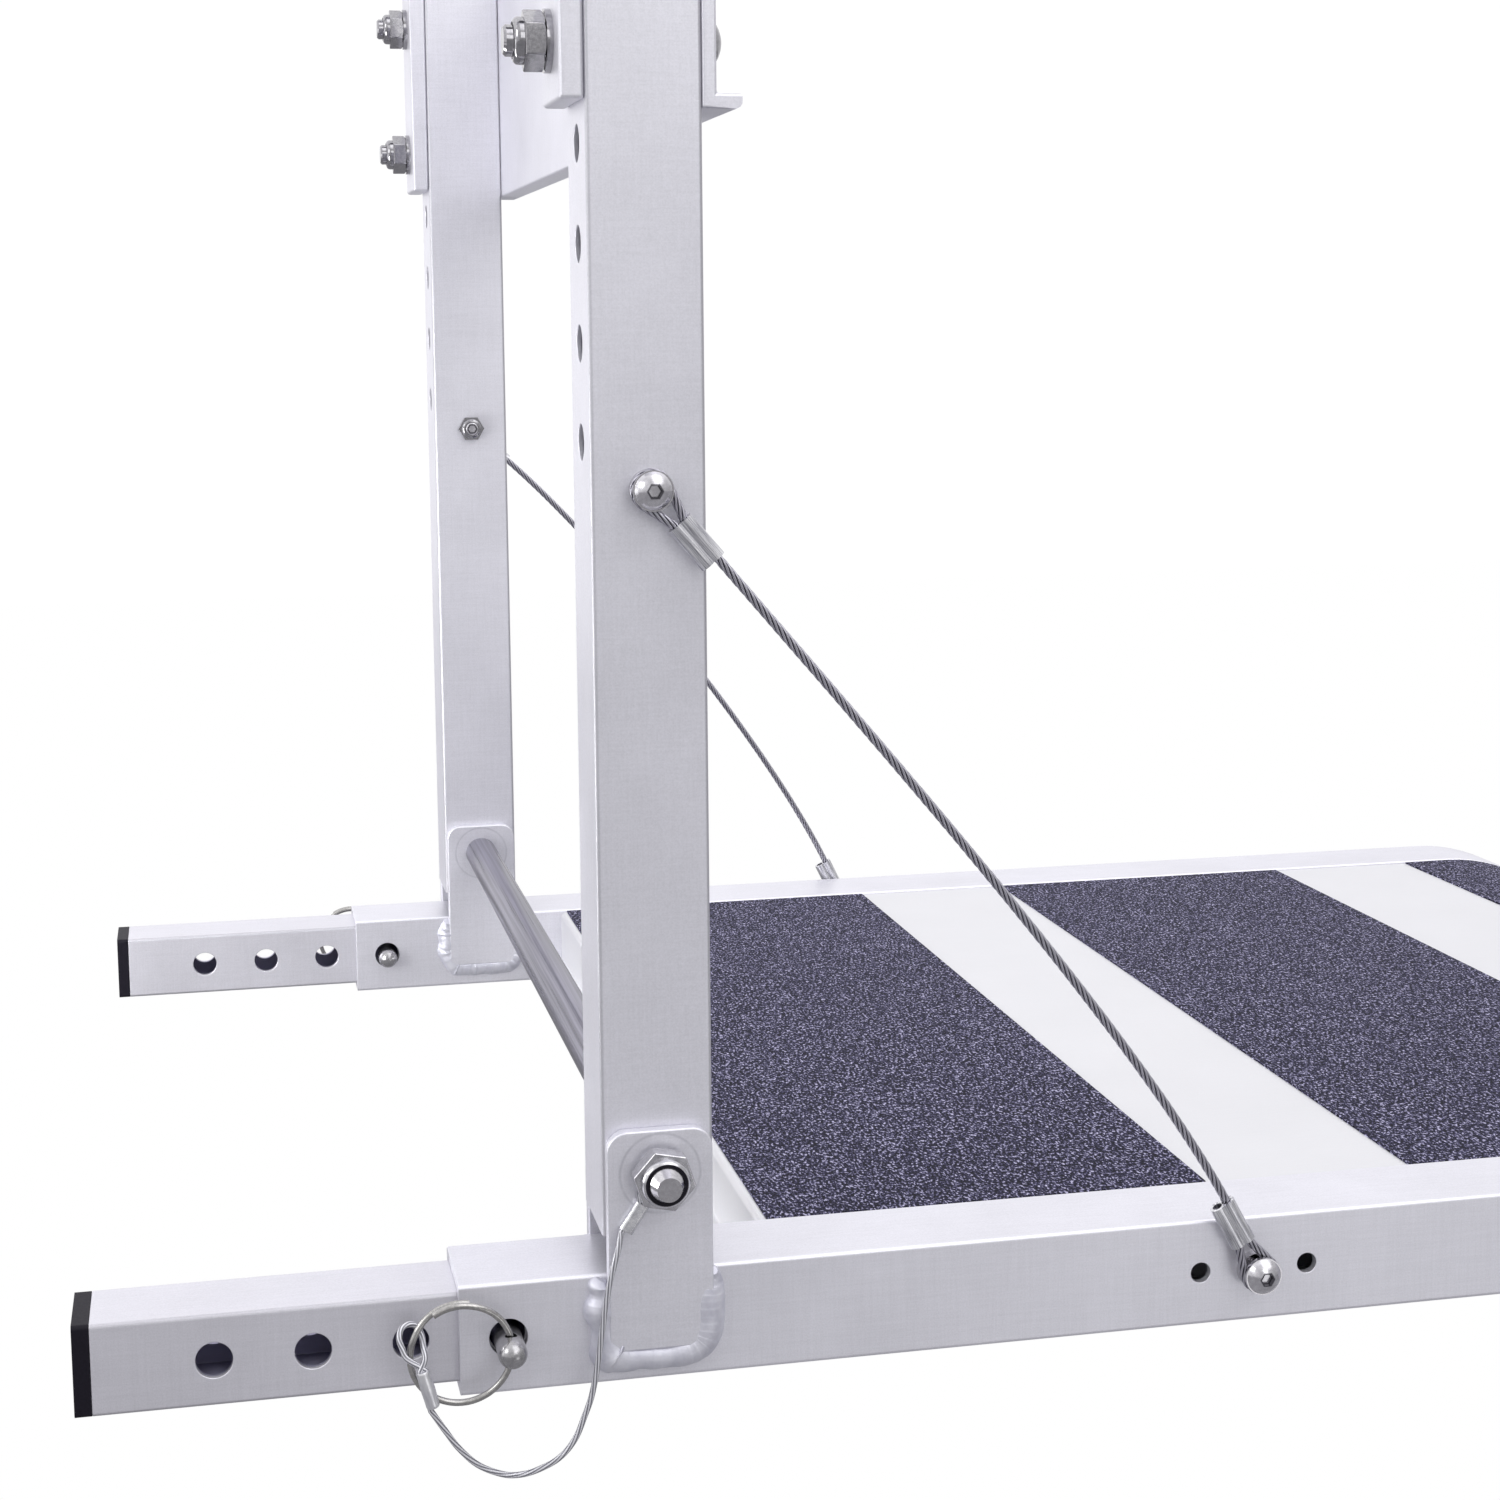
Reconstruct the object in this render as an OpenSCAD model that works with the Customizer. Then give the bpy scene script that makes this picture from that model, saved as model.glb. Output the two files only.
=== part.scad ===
// Folding dog platform for the side of a boat or a dock, in millimetres.
// A grip-taped deck between two square rails folds up against two uprights.
// Two wire ropes hold it level, and two telescoping arms stand it off the hull.
// X points outboard, Y along the hull with the left side positive, Z up.
// The origin is at the middle of the four bolt holes in the hanger feet, on their underside.

/* [Rails] */
// Width over the outer faces of the two rails
platform_w = 558.8; // [450:0.1:700]
// Side of a rail's square tube
rail_s = 38.1; // [36:0.1:45]
// Wall of a rail
rail_wall = 3.2; // [2.5:0.1:4]
// Outside corner radius of every square tube
tube_corner = 1.5; // [0.5:0.1:2]
// Length of a rail inboard of the hinge line
rail_inboard_l = 67; // [62:1:80]
// Level length of a rail outboard of the hinge line
rail_level_l = 565; // [550:1:700]
// Downward angle of the boarding ramp at the outboard end
ramp_angle = 30; // [15:1:40]
// Bend radius of the rail's top face where the ramp starts
ramp_r = 100; // [80:1:140]
// Straight length of the ramp past its bend
ramp_l = 128; // [120:1:200]

/* [Deck] */
// Thickness of the deck sheet
deck_t = 2; // [1.5:0.1:3]
// Depth of the deck sheet's top below the top of the rails
deck_drop = 1.3; // [1:0.1:3]
// Distance from the hinge line to the deck's inboard edge, where its sheet turns down
deck_start = 43; // [38:0.5:46]
// Inside radius of the bends in the deck's lip
lip_r = 1; // [0.5:0.1:3]
// Width of the foot that the deck's lip turns towards the hinge
lip_foot_w = 19; // [10:0.5:20]
// Side of the square cross tubes under the deck
cross_s = 25.4; // [20:0.1:30]
// Wall of the cross tubes
cross_wall = 2; // [1.5:0.1:3]
// Number of grip strips
strip_n = 3; // [2:1:3]
// Length of a grip strip along the deck
strip_l = 165; // [120:1:170]
// Distance from one grip strip's start to the next
strip_pitch = 246; // [240:1:260]
// Distance from the hinge line to the first grip strip
strip_start = 46; // [40:0.5:60]
// Thickness of a grip strip
strip_t = 0.8; // [0.5:0.1:1]
// Bare margin between a grip strip's end and the rail
strip_margin = 1; // [0.5:0.1:5]

/* [Arms] */
// Clearance between an arm and the inside of its rail
arm_clear = 0.35; // [0.3:0.05:0.8]
// Wall of an arm
arm_wall = 3; // [2:0.1:4]
// Length of an arm past its inboard hole
arm_tip_l = 38.95; // [30:0.05:50]
// Length of an arm past its outboard hole
arm_tail_l = 14.05; // [10:0.05:20]
// Distance between adjusting holes, in the arms and the uprights
hole_pitch = 31.75; // [28:0.05:34]
// Number of adjusting holes in an arm
arm_hole_n = 5; // [4:1:7]
// Diameter of the adjusting holes
adjust_hole_d = 12; // [11:0.1:13]
// Distance from the hinge line to the locking pin
pin_x = 50.8; // [48:0.1:54]
// Diameter of the rail's pin hole
pin_hole_d = 12.7; // [12:0.1:14]
// Thickness of an arm cap's pad
arm_cap_t = 5.5; // [3:0.1:10]

/* [Locking pins] */
// Diameter of a locking pin
pin_d = 9.6; // [8.5:0.1:10]
// Reach of a pin beyond the rail's outer face
pin_out = 16; // [15:0.5:20]
// Reach of a pin beyond the rail's inner face
pin_in = 9; // [7:0.5:14]
// Distance from the rail's outer face to the pull ring's hole
ring_y = 7; // [6.5:0.1:8]
// Diameter of the hole for the pull ring
ring_hole_d = 4; // [3.8:0.1:4.5]
// Mean radius of the pull ring
ring_r = 16.7; // [16:0.1:18]
// Diameter of the pull ring's wire
ring_wire_d = 2.2; // [1.8:0.1:2.3]

/* [Uprights] */
// Side of an upright's square tube
upright_s = 37.5; // [33:0.1:37.8]
// Wall of an upright
upright_wall = 3; // [2:0.1:4]
// Gap between a rail's top and an upright's open lower end
upright_gap = 12.5; // [10:0.5:14]
// Length of an upright
upright_l = 509.4; // [505:0.1:520]
// Height of the lowest adjusting hole above the underside of the rails
upright_hole_z = 312.5; // [308:0.5:316]
// Least distance from an upright's highest adjusting hole to its top
upright_hole_rim = 25; // [20:0.5:30]

/* [Hinge] */
// Height of the hinge line above the top of the rails
hinge_rise = 34.6; // [32:0.1:40]
// Diameter of the hinge rod
rod_d = 12; // [10:0.1:13]
// Radial running clearance of the hinge rod
rod_clear = 0.1; // [0.05:0.01:0.1]
// Reach of the hinge rod beyond a rail's outer face
rod_out = 21.5; // [19:0.5:26]
// Radial depth of the long chamfer on the hinge rod's ends
rod_point = 1.9; // [0.5:0.1:3]
// Length of the chamfer on the hinge rod's ends
rod_point_l = 4.5; // [0.5:0.1:6]
// Outside diameter of the spacer tube between the ears
spacer_d = 16; // [15:0.1:20]
// Width of a hinge ear
ear_w = 35.5; // [32:0.5:38]
// Thickness of a hinge ear
ear_t = 4.5; // [3:0.1:6]
// Height of an ear above the hinge line
ear_top = 14.7; // [12:0.1:20]
// Height of an ear's lower edge above the underside of the rails
ear_foot_z = 12; // [11:0.5:16]
// Upper corner radius of an ear
ear_top_r = 7; // [4:0.5:10]
// Lower corner radius of an ear
ear_foot_r = 4; // [3:0.5:6]
// Width of the weld bead round an ear's foot
weld_w = 7.5; // [4:0.5:9]
// Height of the weld bead
weld_h = 4.2; // [2:0.1:4.4]
// Size of the hinge nuts across their flats
rod_nut_af = 18.5; // [18:0.1:20]
// Height of the hinge nuts
rod_nut_h = 10; // [9:0.1:12]

/* [Hanger] */
// Thickness of the bent hanger bars
hanger_t = 8; // [6:0.5:10]
// Distance from the lower hanger bolt to a hanger bar's lower end
hanger_tail_l = 19.5; // [15:0.5:22]
// Height of the hanger feet's underside above the tops of the uprights
foot_rise = 25; // [18:0.5:60]
// Inside bend radius of a hanger bar
hanger_bend_r = 8; // [6:0.5:12]
// Distance from the hinge line to the middle of the foot holes
foot_x = 86; // [84:1:100]
// Distance between the two holes in a foot
foot_hole_gap = 60; // [50:1:64]
// Diameter of the foot holes
foot_hole_d = 10.5; // [8:0.1:13]
// Distance from the inboard foot hole to the foot's end
foot_end = 30; // [20:1:40]
// Corner radius of a foot's end
foot_corner_r = 8; // [4:0.5:12]
// Thickness of the cross angle
cross_angle_t = 4.8; // [4:0.1:6]
// Height of the cross angle's upright leg
cross_angle_h = 108; // [100:1:115]
// Distance from the lower hanger bolt to the cross angle's lower edge
cross_angle_drop = 22; // [20:0.5:26]
// Reach of the cross angle's lower leg from the uprights
cross_angle_w = 13; // [11:0.5:14]
// Diameter of the hanger bolts
hanger_bolt_d = 10; // [8:0.1:10.5]
// Height of a hanger bolt's domed head
hanger_head_h = 5.2; // [4:0.1:6]
// Size of the hanger nuts across their flats
hanger_nut_af = 17; // [15:0.1:18]
// Height of the hanger nuts
hanger_nut_h = 10; // [8:0.1:12]
// Thickness of the hanger washers
hanger_washer_t = 2; // [1:0.1:3]

/* [Support cables] */
// Diameter of the wire rope
cable_d = 3.2; // [2.5:0.1:3.4]
// Height of the upper cable bolt above the underside of the rails
cable_top_z = 298; // [290:0.5:300]
// Distance from the hinge line to the lower cable bolt
cable_low_x = 213; // [205:0.5:220]
// Distance from the lower cable bolt to a spare hole on either side
spare_gap = 20; // [15:0.5:22]
// Diameter of the cable bolts
cable_bolt_d = 6.35; // [5:0.05:6.5]
// Diameter of the holes for the cable bolts
cable_hole_d = 7.2; // [6.9:0.1:8]
// Diameter of a cable bolt's head
cable_head_d = 12.4; // [11:0.1:13]
// Height of a cable bolt's head
cable_head_h = 3.6; // [3:0.1:5]
// Distance from a rail's outer face to the middle of the wire rope
cable_y = 5; // [4.5:0.1:6]
// Distance from a cable bolt to its ferrule
ferrule_start = 13.7; // [12:0.1:16]
// Length of a cable ferrule
ferrule_l = 16.7; // [14:0.1:20]
// Tilt of the right cable's upper and lower ferrules off the straight line
right_tilts = [2.9, 8.2]; // [0:0.1:12]
// Tilt of the left cable's upper and lower ferrules off the straight line
left_tilts = [10.8, 11.3]; // [0:0.1:12]

/* [Pin lanyard] */
// Diameter of the lanyard's coated rope
lanyard_d = 2; // [1.5:0.1:2.2]
// Distance from a rail's outer face to the lanyard's upper eye
lanyard_y = 6.1; // [6:0.1:6.5]
// Angle of the lanyard's upper ferrule about the hinge line
lanyard_angle = 236.5; // [230:0.5:245]
// Distance from the hinge line to the lanyard's upper ferrule
lanyard_ferrule_start = 11.4; // [11.2:0.1:13]
// Length of the lanyard's upper ferrule
lanyard_ferrule_l = 10.4; // [8:0.1:12]

/* [Hidden] */
$fn = 64;
RIGHT = -1;
LEFT = 1;

// Faces and heights of the main tubes
outer_y = platform_w / 2;
rail_mid_y = outer_y - rail_s / 2;
inner_y = outer_y - rail_s;
rail_mid_z = rail_s / 2;
arm_s = rail_s - 2 * rail_wall - 2 * arm_clear;
hinge_z = rail_s + hinge_rise;
upright_low_z = rail_s + upright_gap;
upright_out_y = rail_mid_y + upright_s / 2;
upright_in_y = rail_mid_y - upright_s / 2;
upright_top_z = upright_low_z + upright_l;
foot_z = upright_top_z + foot_rise;
// Step where a straight piece leaves a bend, so that their faces never half meet
join_step = 0.01;

// Ramp, measured along the top face of the rails
ramp_arc_l = PI * ramp_r * ramp_angle / 180;
deck_end = rail_level_l + ramp_arc_l + ramp_l;
strip_gap = strip_pitch - strip_l;
deck_top = -deck_drop;
deck_under = deck_top - deck_t;
deck_flat_x = deck_start + deck_t + lip_r;
lip_foot_x = deck_start + deck_t - lip_foot_w;
cross_tube_at = [
    deck_flat_x + cross_s / 2,
    strip_start + strip_l + strip_gap / 2,
    strip_start + strip_pitch + strip_l + strip_gap / 2,
    deck_end - cross_s / 2
];

// Arms, locked by a pin through the second hole from their outboard end
arm_first_x = hole_pitch - pin_x;
arm_out_x = arm_first_x + arm_tail_l;
arm_in_x = arm_first_x - (arm_hole_n - 1) * hole_pitch - arm_tip_l;

// Locking pin, resting on the lower side of its holes
pin_rest_gap = 0.1;
pin_z = rail_mid_z - (min(pin_hole_d, adjust_hole_d) - pin_d) / 2 + pin_rest_gap;
pin_tip_r = pin_d / 2;

// Pull ring, its ends lapped side by side and cranked out of its plane over these angles
ring_turn = 402;
ring_start = 122;
ring_lap_gap = 0.25;
ring_first_crank = [30, 80];
ring_last_crank = [-200, -238];
ring_hang = 0.35;

// Upright holes, as many as fit, and the hanger bolts through the second and fourth from the top
upright_hole_n = 1 + floor((upright_top_z - upright_hole_rim - upright_hole_z) / hole_pitch);
hanger_bolt_z = [
    upright_hole_z + (upright_hole_n - 4) * hole_pitch,
    upright_hole_z + (upright_hole_n - 2) * hole_pitch
];
hanger_low_z = hanger_bolt_z[0] - hanger_tail_l;
cross_angle_z = hanger_bolt_z[0] - cross_angle_drop;
bolt_hole_play = 0.5;
hanger_bolt_tail = 3;

// Support cables
thimble_play = 0.125;
thimble_skin = 0.6;
thimble_bore_r = cable_bolt_d / 2 + thimble_play;
thimble_side_gap = 0.2;
thimble_half_w = cable_d / 2 + thimble_side_gap + thimble_skin;
thimble_wrap = 0.6;
rope_seat_gap = 0.1;
cable_loop_r = thimble_bore_r + thimble_skin + rope_seat_gap + cable_d / 2;
ferrule_play = 0.15;
ferrule_web = 0.2;
strand_gap = cable_d / 2 + ferrule_play + ferrule_web / 2;
ferrule_skin = 1.2;
ferrule_waist = 0.72;
rope_tail_recess = 1.5;
// Share of the free span that each ferrule keeps the rope pointing its own way
cable_handle = 0.26;
cable_washer_t = 1.2;
cable_washer_rim = 0.8;
cable_washer_play = 0.3;
cable_nut_af = 11.5;
cable_nut_h = 6.5;
cable_bolt_tail = 1.5;

// Lanyard, its route given from the rail's outer face, as X, distance outwards and Z
lanyard_low_top = [-80.3, 10.9, 14.9];
lanyard_low_end = [-77, 11, 2.5];
lanyard_eye_route = [
    [-79.3, 9.9, 18.2], [-79.4, 6.6, 21.4], [-79.7, 3.9, 24.4], [-81.2, 2.9, 26.9], [-83.6, 3.1, 28],
    [-86.1, 4.2, 27.2], [-87.1, 6.2, 24.8], [-86.3, 7.5, 21.8], [-84.8, 8.9, 18.6]
];
lanyard_play = 0.1;
lanyard_web = 0.1;
lanyard_strand_gap = lanyard_d / 2 + lanyard_play + lanyard_web / 2;
lanyard_skin = 0.35;
lanyard_seat = 2;
lanyard_lead = 1;
lanyard_route = [
    [-73.5, 10.5, -6], [-69, 10, -13], [-63, 9.5, -19.5], [-56, 9, -23.5], [-50.5, 8.5, -25],
    [-44, 8, -24.5], [-36, 8, -21], [-30.5, 8, -15], [-27, 8, -7], [-24.5, 8, 0], [-22.5, 8, 10],
    [-21, 8, 20], [-19.5, 8, 30], [-17.5, 8, 40], [-15, 7.5, 48.5]
];

// Geometry helpers
function unit(v) = v / norm(v);
function lerp(a, b, t) = a + (b - a) * t;
function clamp01(t) = min(max(t, 0), 1);
function smooth(t) = let(u = clamp01(t)) u * u * (3 - 2 * u);
function polar(a) = [cos(a), 0, sin(a)];

// Direction of travel at each point of a route, with given directions at its two ends
function headings(p, first, last) = [
    for (i = [0 : len(p) - 1])
        i == 0 ? unit(first) : i == len(p) - 1 ? unit(last) : unit(p[i + 1] - p[i - 1])
];

// Round tube along a route that never runs parallel to Y
module swept_tube(p, r, first, last, sides = 8) {
    heading = headings(p, first, last);
    rings = [
        for (i = [0 : len(p) - 1])
            let(across = unit(cross(heading[i], [0, 1, 0])), up = cross(across, heading[i]))
            for (k = [0 : sides - 1])
                p[i] + r * (cos(360 * k / sides) * across + sin(360 * k / sides) * up)
    ];
    last_ring = (len(p) - 1) * sides;
    walls = [
        for (i = [0 : len(p) - 2], k = [0 : sides - 1])
            let(a = i * sides + k, b = i * sides + (k + 1) % sides)
            each [[a, b, b + sides], [a, b + sides, a + sides]]
    ];
    start_cap = [for (k = [1 : sides - 2]) [0, k + 1, k]];
    end_cap = [for (k = [1 : sides - 2]) [last_ring, last_ring + k, last_ring + k + 1]];
    polyhedron(rings, concat(walls, start_cap, end_cap));
}

// Smooth curve through the points of a hand-laid route
function catmull(a, b, c, d, t) =
    0.5 * (2 * b + (c - a) * t + (2 * a - 5 * b + 4 * c - d) * t * t
        + (3 * b - a - 3 * c + d) * t * t * t);
function smooth_route(p, steps) = [
    for (i = [0 : len(p) - 2], s = [0 : steps - 1])
        catmull(p[max(i - 1, 0)], p[i], p[i + 1], p[min(i + 2, len(p) - 1)], s / steps),
    p[len(p) - 1]
];

// Moves the model so that its origin is at the hanger feet
module placed() {
    translate([foot_x, 0, -foot_z]) children();
}

// What is drawn on the left side, at +Y, mirrored to the right side where asked
module on_side(side) {
    if (side == LEFT) {
        children();
    } else {
        mirror([0, 1, 0]) children();
    }
}

module on_both_sides() {
    children();
    mirror([0, 1, 0]) children();
}

// Turns what is drawn along +Z so that it runs along +X, its own X to Y and its own Y to Z
module along_x() {
    rotate([90, 0, 90]) children();
}

// Turns what is drawn along +Z so that it runs along +Y
module along_y() {
    rotate([-90, 0, 0]) children();
}

// Places a piece on the top line of the rails, at a distance along it from the hinge line
module on_deck(u) {
    angle = clamp01((u - rail_level_l) / ramp_arc_l) * ramp_angle;
    past = max(u - rail_level_l - ramp_arc_l, 0);
    translate([min(u, rail_level_l), 0, rail_s - ramp_r])
        rotate([0, angle, 0])
            translate([past, 0, ramp_r]) children();
}

module rounded_square(side, r) {
    square([side - 2 * r, side], center = true);
    square([side, side - 2 * r], center = true);
    for (x = [-1, 1], y = [-1, 1])
        translate([x * (side / 2 - r), y * (side / 2 - r)]) circle(r);
}

module tube_section(side, wall) {
    difference() {
        rounded_square(side, tube_corner);
        square(side - 2 * wall, center = true);
    }
}

// Bar of a given section that turns down from the level about the ramp's bend axis
module ramp_bend(from_angle, to_angle) {
    translate([rail_level_l, 0, rail_s - ramp_r])
        rotate([-90, 0, 0]) rotate([0, 0, -90])
            rotate([0, 0, from_angle]) rotate_extrude(angle = to_angle - from_angle, $fn = 96) children();
}

// Sheet that follows the deck between two distances along it
module deck_layer(from, to, top, thick, width) {
    bend_from = max(from, rail_level_l);
    bend_to = min(to, rail_level_l + ramp_arc_l);
    degrees_per_mm = ramp_angle / ramp_arc_l;
    if (from < rail_level_l)
        translate([from, -width / 2, rail_s + top - thick])
            cube([min(to, rail_level_l) - from, width, thick]);
    if (bend_to > bend_from)
        ramp_bend((bend_from - rail_level_l) * degrees_per_mm, (bend_to - rail_level_l) * degrees_per_mm)
            translate([ramp_r + top - thick, -width / 2]) square([thick, width]);
    if (to > rail_level_l + ramp_arc_l)
        on_deck(rail_level_l + ramp_arc_l)
            translate([-join_step, -width / 2 + join_step, top - thick + join_step])
                cube([to - rail_level_l - ramp_arc_l + join_step, width - 2 * join_step,
                    thick - 2 * join_step]);
}

// Plug and pad that close a square tube, the pad from z = 0 upwards
module tube_cap(side, wall, pad_t) {
    plug_l = 14;
    plug_play = 0.2;
    plug_wall = 2;
    plug_s = side - 2 * wall - 2 * plug_play;
    linear_extrude(pad_t) rounded_square(side, tube_corner);
    translate([0, 0, -plug_l]) linear_extrude(plug_l + join_step) difference() {
        square(plug_s, center = true);
        square(plug_s - 2 * plug_wall, center = true);
    }
}

// Hexagon with its corners turned off, from z = 0 upwards
module hexagon(af, h) {
    corner_d = af / cos(30);
    chamfer_h = (corner_d - af) / 2;
    intersection() {
        cylinder(d = corner_d, h = h, $fn = 6);
        union() {
            cylinder(d1 = af, d2 = af + 2 * chamfer_h * 2, h = chamfer_h);
            translate([0, 0, chamfer_h]) cylinder(d = corner_d + 1, h = h - chamfer_h);
        }
    }
}

// Lock nut with a turned collar for its insert, seated at z = 0
thread_play = 0.1;
hex_share = 0.66;

insert_share = 0.09;

module lock_nut(d, af, h) {
    hex_h = hex_share * h;
    collar_r = 0.44 * af;
    edge_r = 0.12 * af;
    difference() {
        union() {
            hexagon(af, hex_h);
            cylinder(r = collar_r, h = h - edge_r);
            cylinder(r = collar_r - edge_r, h = h);
            translate([0, 0, h - edge_r]) rotate_extrude() intersection() {
                translate([collar_r - edge_r, 0]) circle(edge_r);
                square([collar_r, edge_r]);
            }
        }
        translate([0, 0, -1]) cylinder(d = d + thread_play, h = h + 2);
        translate([0, 0, hex_h]) cylinder(r = insert_r(d), h = h);
    }
}

function insert_r(d) = (1 / 2 + insert_share) * d;

module lock_nut_insert(d, h) {
    hex_h = hex_share * h;
    recess = 0.4;
    translate([0, 0, hex_h]) difference() {
        cylinder(r = insert_r(d), h = h - hex_h - recess);
        translate([0, 0, -1]) cylinder(d = d + thread_play, h = h);
    }
}

module washer(d, outer_d, t) {
    difference() {
        cylinder(d = outer_d, h = t);
        translate([0, 0, -1]) cylinder(d = d, h = t + 2);
    }
}

// Button-head bolt, the shank from z = 0 upwards and the domed head below it
module button_bolt(d, l, head_d, head_h, socket_af) {
    dome_r = (head_d * head_d / 4 + head_h * head_h) / (2 * head_h);
    socket_h = 0.6 * head_h;
    tip = 0.08 * d;
    difference() {
        union() {
            cylinder(d = d, h = l - tip);
            translate([0, 0, l - tip]) cylinder(d1 = d, d2 = d - 2 * tip, h = tip);
            intersection() {
                translate([0, 0, dome_r - head_h]) sphere(dome_r);
                translate([0, 0, -head_h]) cylinder(d = head_d, h = head_h);
            }
        }
        translate([0, 0, -head_h - 1])
            cylinder(d = socket_af / cos(30), h = socket_h + 1, $fn = 6);
    }
}

// Uprights

module upright(side) {
    on_side(side) difference() {
        translate([0, rail_mid_y, upright_low_z])
            linear_extrude(upright_l) tube_section(upright_s, upright_wall);
        for (i = [0 : upright_hole_n - 1])
            translate([-upright_s, rail_mid_y, upright_hole_z + i * hole_pitch])
                along_x() cylinder(d = adjust_hole_d, h = 2 * upright_s);
        translate([0, upright_in_y - 1, hinge_z])
            along_y() cylinder(d = rod_d + 2 * rod_clear, h = upright_s + 2);
        translate([0, upright_in_y - 1, cable_top_z])
            along_y() cylinder(d = cable_hole_d, h = upright_s + 2);
    }
}

module right_upright() {
    color("gainsboro") placed() upright(RIGHT);
}

module left_upright() {
    color("gainsboro") placed() upright(LEFT);
}

module upright_caps() {
    cap_t = 3;
    color("black") placed() on_both_sides()
        translate([0, rail_mid_y, upright_low_z + upright_l])
            tube_cap(upright_s, upright_wall, cap_t);
}

// Hanger

hanger_out_x = -upright_s / 2;
hanger_in_x = hanger_out_x - hanger_t;
foot_end_x = -foot_x - foot_hole_gap / 2 - foot_end;

module hanger_bar(side) {
    bend_x = hanger_in_x - hanger_bend_r;
    bend_z = foot_z - hanger_bend_r;
    foot_l = bend_x - foot_end_x;
    on_side(side) translate([0, rail_mid_y, 0]) difference() {
        union() {
            translate([hanger_in_x, -upright_s / 2, hanger_low_z])
                cube([hanger_t, upright_s, bend_z - hanger_low_z]);
            translate([bend_x, 0, bend_z])
                rotate([90, 0, 0]) rotate_extrude(angle = 90)
                    translate([hanger_bend_r, -upright_s / 2]) square([hanger_t, upright_s]);
            translate([foot_end_x, 0, foot_z]) linear_extrude(hanger_t) foot_outline(foot_l);
        }
        for (z = hanger_bolt_z)
            translate([hanger_in_x - 1, 0, z])
                along_x() cylinder(d = hanger_bolt_d + 2 * bolt_hole_play, h = hanger_t + 2);
        for (x = [-1, 1])
            translate([-foot_x + x * foot_hole_gap / 2, 0, foot_z - 1])
                cylinder(d = foot_hole_d, h = hanger_t + 2);
    }
}

module foot_outline(l) {
    translate([foot_corner_r, -upright_s / 2]) square([l - foot_corner_r, upright_s]);
    translate([0, -upright_s / 2 + foot_corner_r]) square([l, upright_s - 2 * foot_corner_r]);
    for (y = [-1, 1])
        translate([foot_corner_r, y * (upright_s / 2 - foot_corner_r)]) circle(foot_corner_r);
}

module right_hanger_bar() {
    color("gainsboro") placed() hanger_bar(RIGHT);
}

module left_hanger_bar() {
    color("gainsboro") placed() hanger_bar(LEFT);
}

module cross_angle() {
    tip_r = cross_angle_t / 2;
    color("gainsboro") placed() difference() {
        translate([upright_s / 2, upright_out_y, 0]) rotate([90, 0, 0])
            linear_extrude(2 * upright_out_y) {
                translate([0, cross_angle_z]) square([cross_angle_t, cross_angle_h]);
                translate([0, cross_angle_z]) square([cross_angle_w - tip_r, cross_angle_t]);
                translate([cross_angle_w - tip_r, cross_angle_z + tip_r]) circle(tip_r);
                translate([cross_angle_w - tip_r, cross_angle_z + tip_r]) square([tip_r, tip_r]);
            }
        for (y = [-rail_mid_y, rail_mid_y], z = hanger_bolt_z)
            translate([upright_s / 2 - 1, y, z])
                along_x() cylinder(d = hanger_bolt_d + 2 * bolt_hole_play, h = cross_angle_t + 2);
    }
}

// Places a piece at each hanger bolt, its own +Z running inboard from the cross angle's face
module at_hanger_bolts(x) {
    for (y = [-rail_mid_y, rail_mid_y], z = hanger_bolt_z)
        translate([x, y, z]) rotate([0, -90, 0]) children();
}

hanger_head_d = 1.9 * hanger_bolt_d;
hanger_socket_af = 0.6 * hanger_bolt_d;
hanger_stack = cross_angle_t + upright_s + hanger_t + hanger_washer_t + hanger_nut_h;

module hanger_bolts() {
    color("silver") placed() at_hanger_bolts(upright_s / 2 + cross_angle_t)
        button_bolt(hanger_bolt_d, hanger_stack + hanger_bolt_tail, hanger_head_d,
            hanger_head_h, hanger_socket_af);
}

module hanger_washers() {
    color("silver") placed() at_hanger_bolts(hanger_in_x)
        washer(hanger_bolt_d + bolt_hole_play, 2 * hanger_bolt_d, hanger_washer_t);
}

module hanger_nuts() {
    color("silver") placed() at_hanger_bolts(hanger_in_x - hanger_washer_t) {
        lock_nut(hanger_bolt_d, hanger_nut_af, hanger_nut_h);
        lock_nut_insert(hanger_bolt_d, hanger_nut_h);
    }
}

// Rails

module rail_body() {
    translate([-rail_inboard_l, rail_mid_y, rail_mid_z])
        along_x() linear_extrude(rail_inboard_l + rail_level_l) tube_section(rail_s, rail_wall);
    translate([0, rail_mid_y, 0])
        ramp_bend(0, ramp_angle)
            translate([ramp_r - rail_s / 2, 0]) tube_section(rail_s, rail_wall);
    on_deck(rail_level_l + ramp_arc_l)
        translate([-join_step, rail_mid_y, -rail_s / 2])
            along_x() linear_extrude(ramp_l + join_step)
                tube_section(rail_s - 2 * join_step, rail_wall - 2 * join_step);
}

module rail(side) {
    on_side(side) difference() {
        rail_body();
        translate([-pin_x, inner_y - 1, rail_mid_z])
            along_y() cylinder(d = pin_hole_d, h = rail_s + 2);
        for (i = [-1 : 1])
            translate([cable_low_x + i * spare_gap, inner_y - 1, rail_mid_z])
                along_y() cylinder(d = cable_hole_d, h = rail_s + 2);
    }
}

module right_rail() {
    color("gainsboro") placed() rail(RIGHT);
}

module left_rail() {
    color("gainsboro") placed() rail(LEFT);
}

module rail_end_caps() {
    cap_t = 3;
    color("black") placed() on_both_sides() on_deck(deck_end)
        translate([0, rail_mid_y, -rail_s / 2])
            along_x() tube_cap(rail_s, rail_wall, cap_t);
}

// Deck

module quarter_bend(r, thick) {
    intersection() {
        difference() {
            circle(r + thick);
            circle(r);
        }
        square(r + thick);
    }
}

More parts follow.
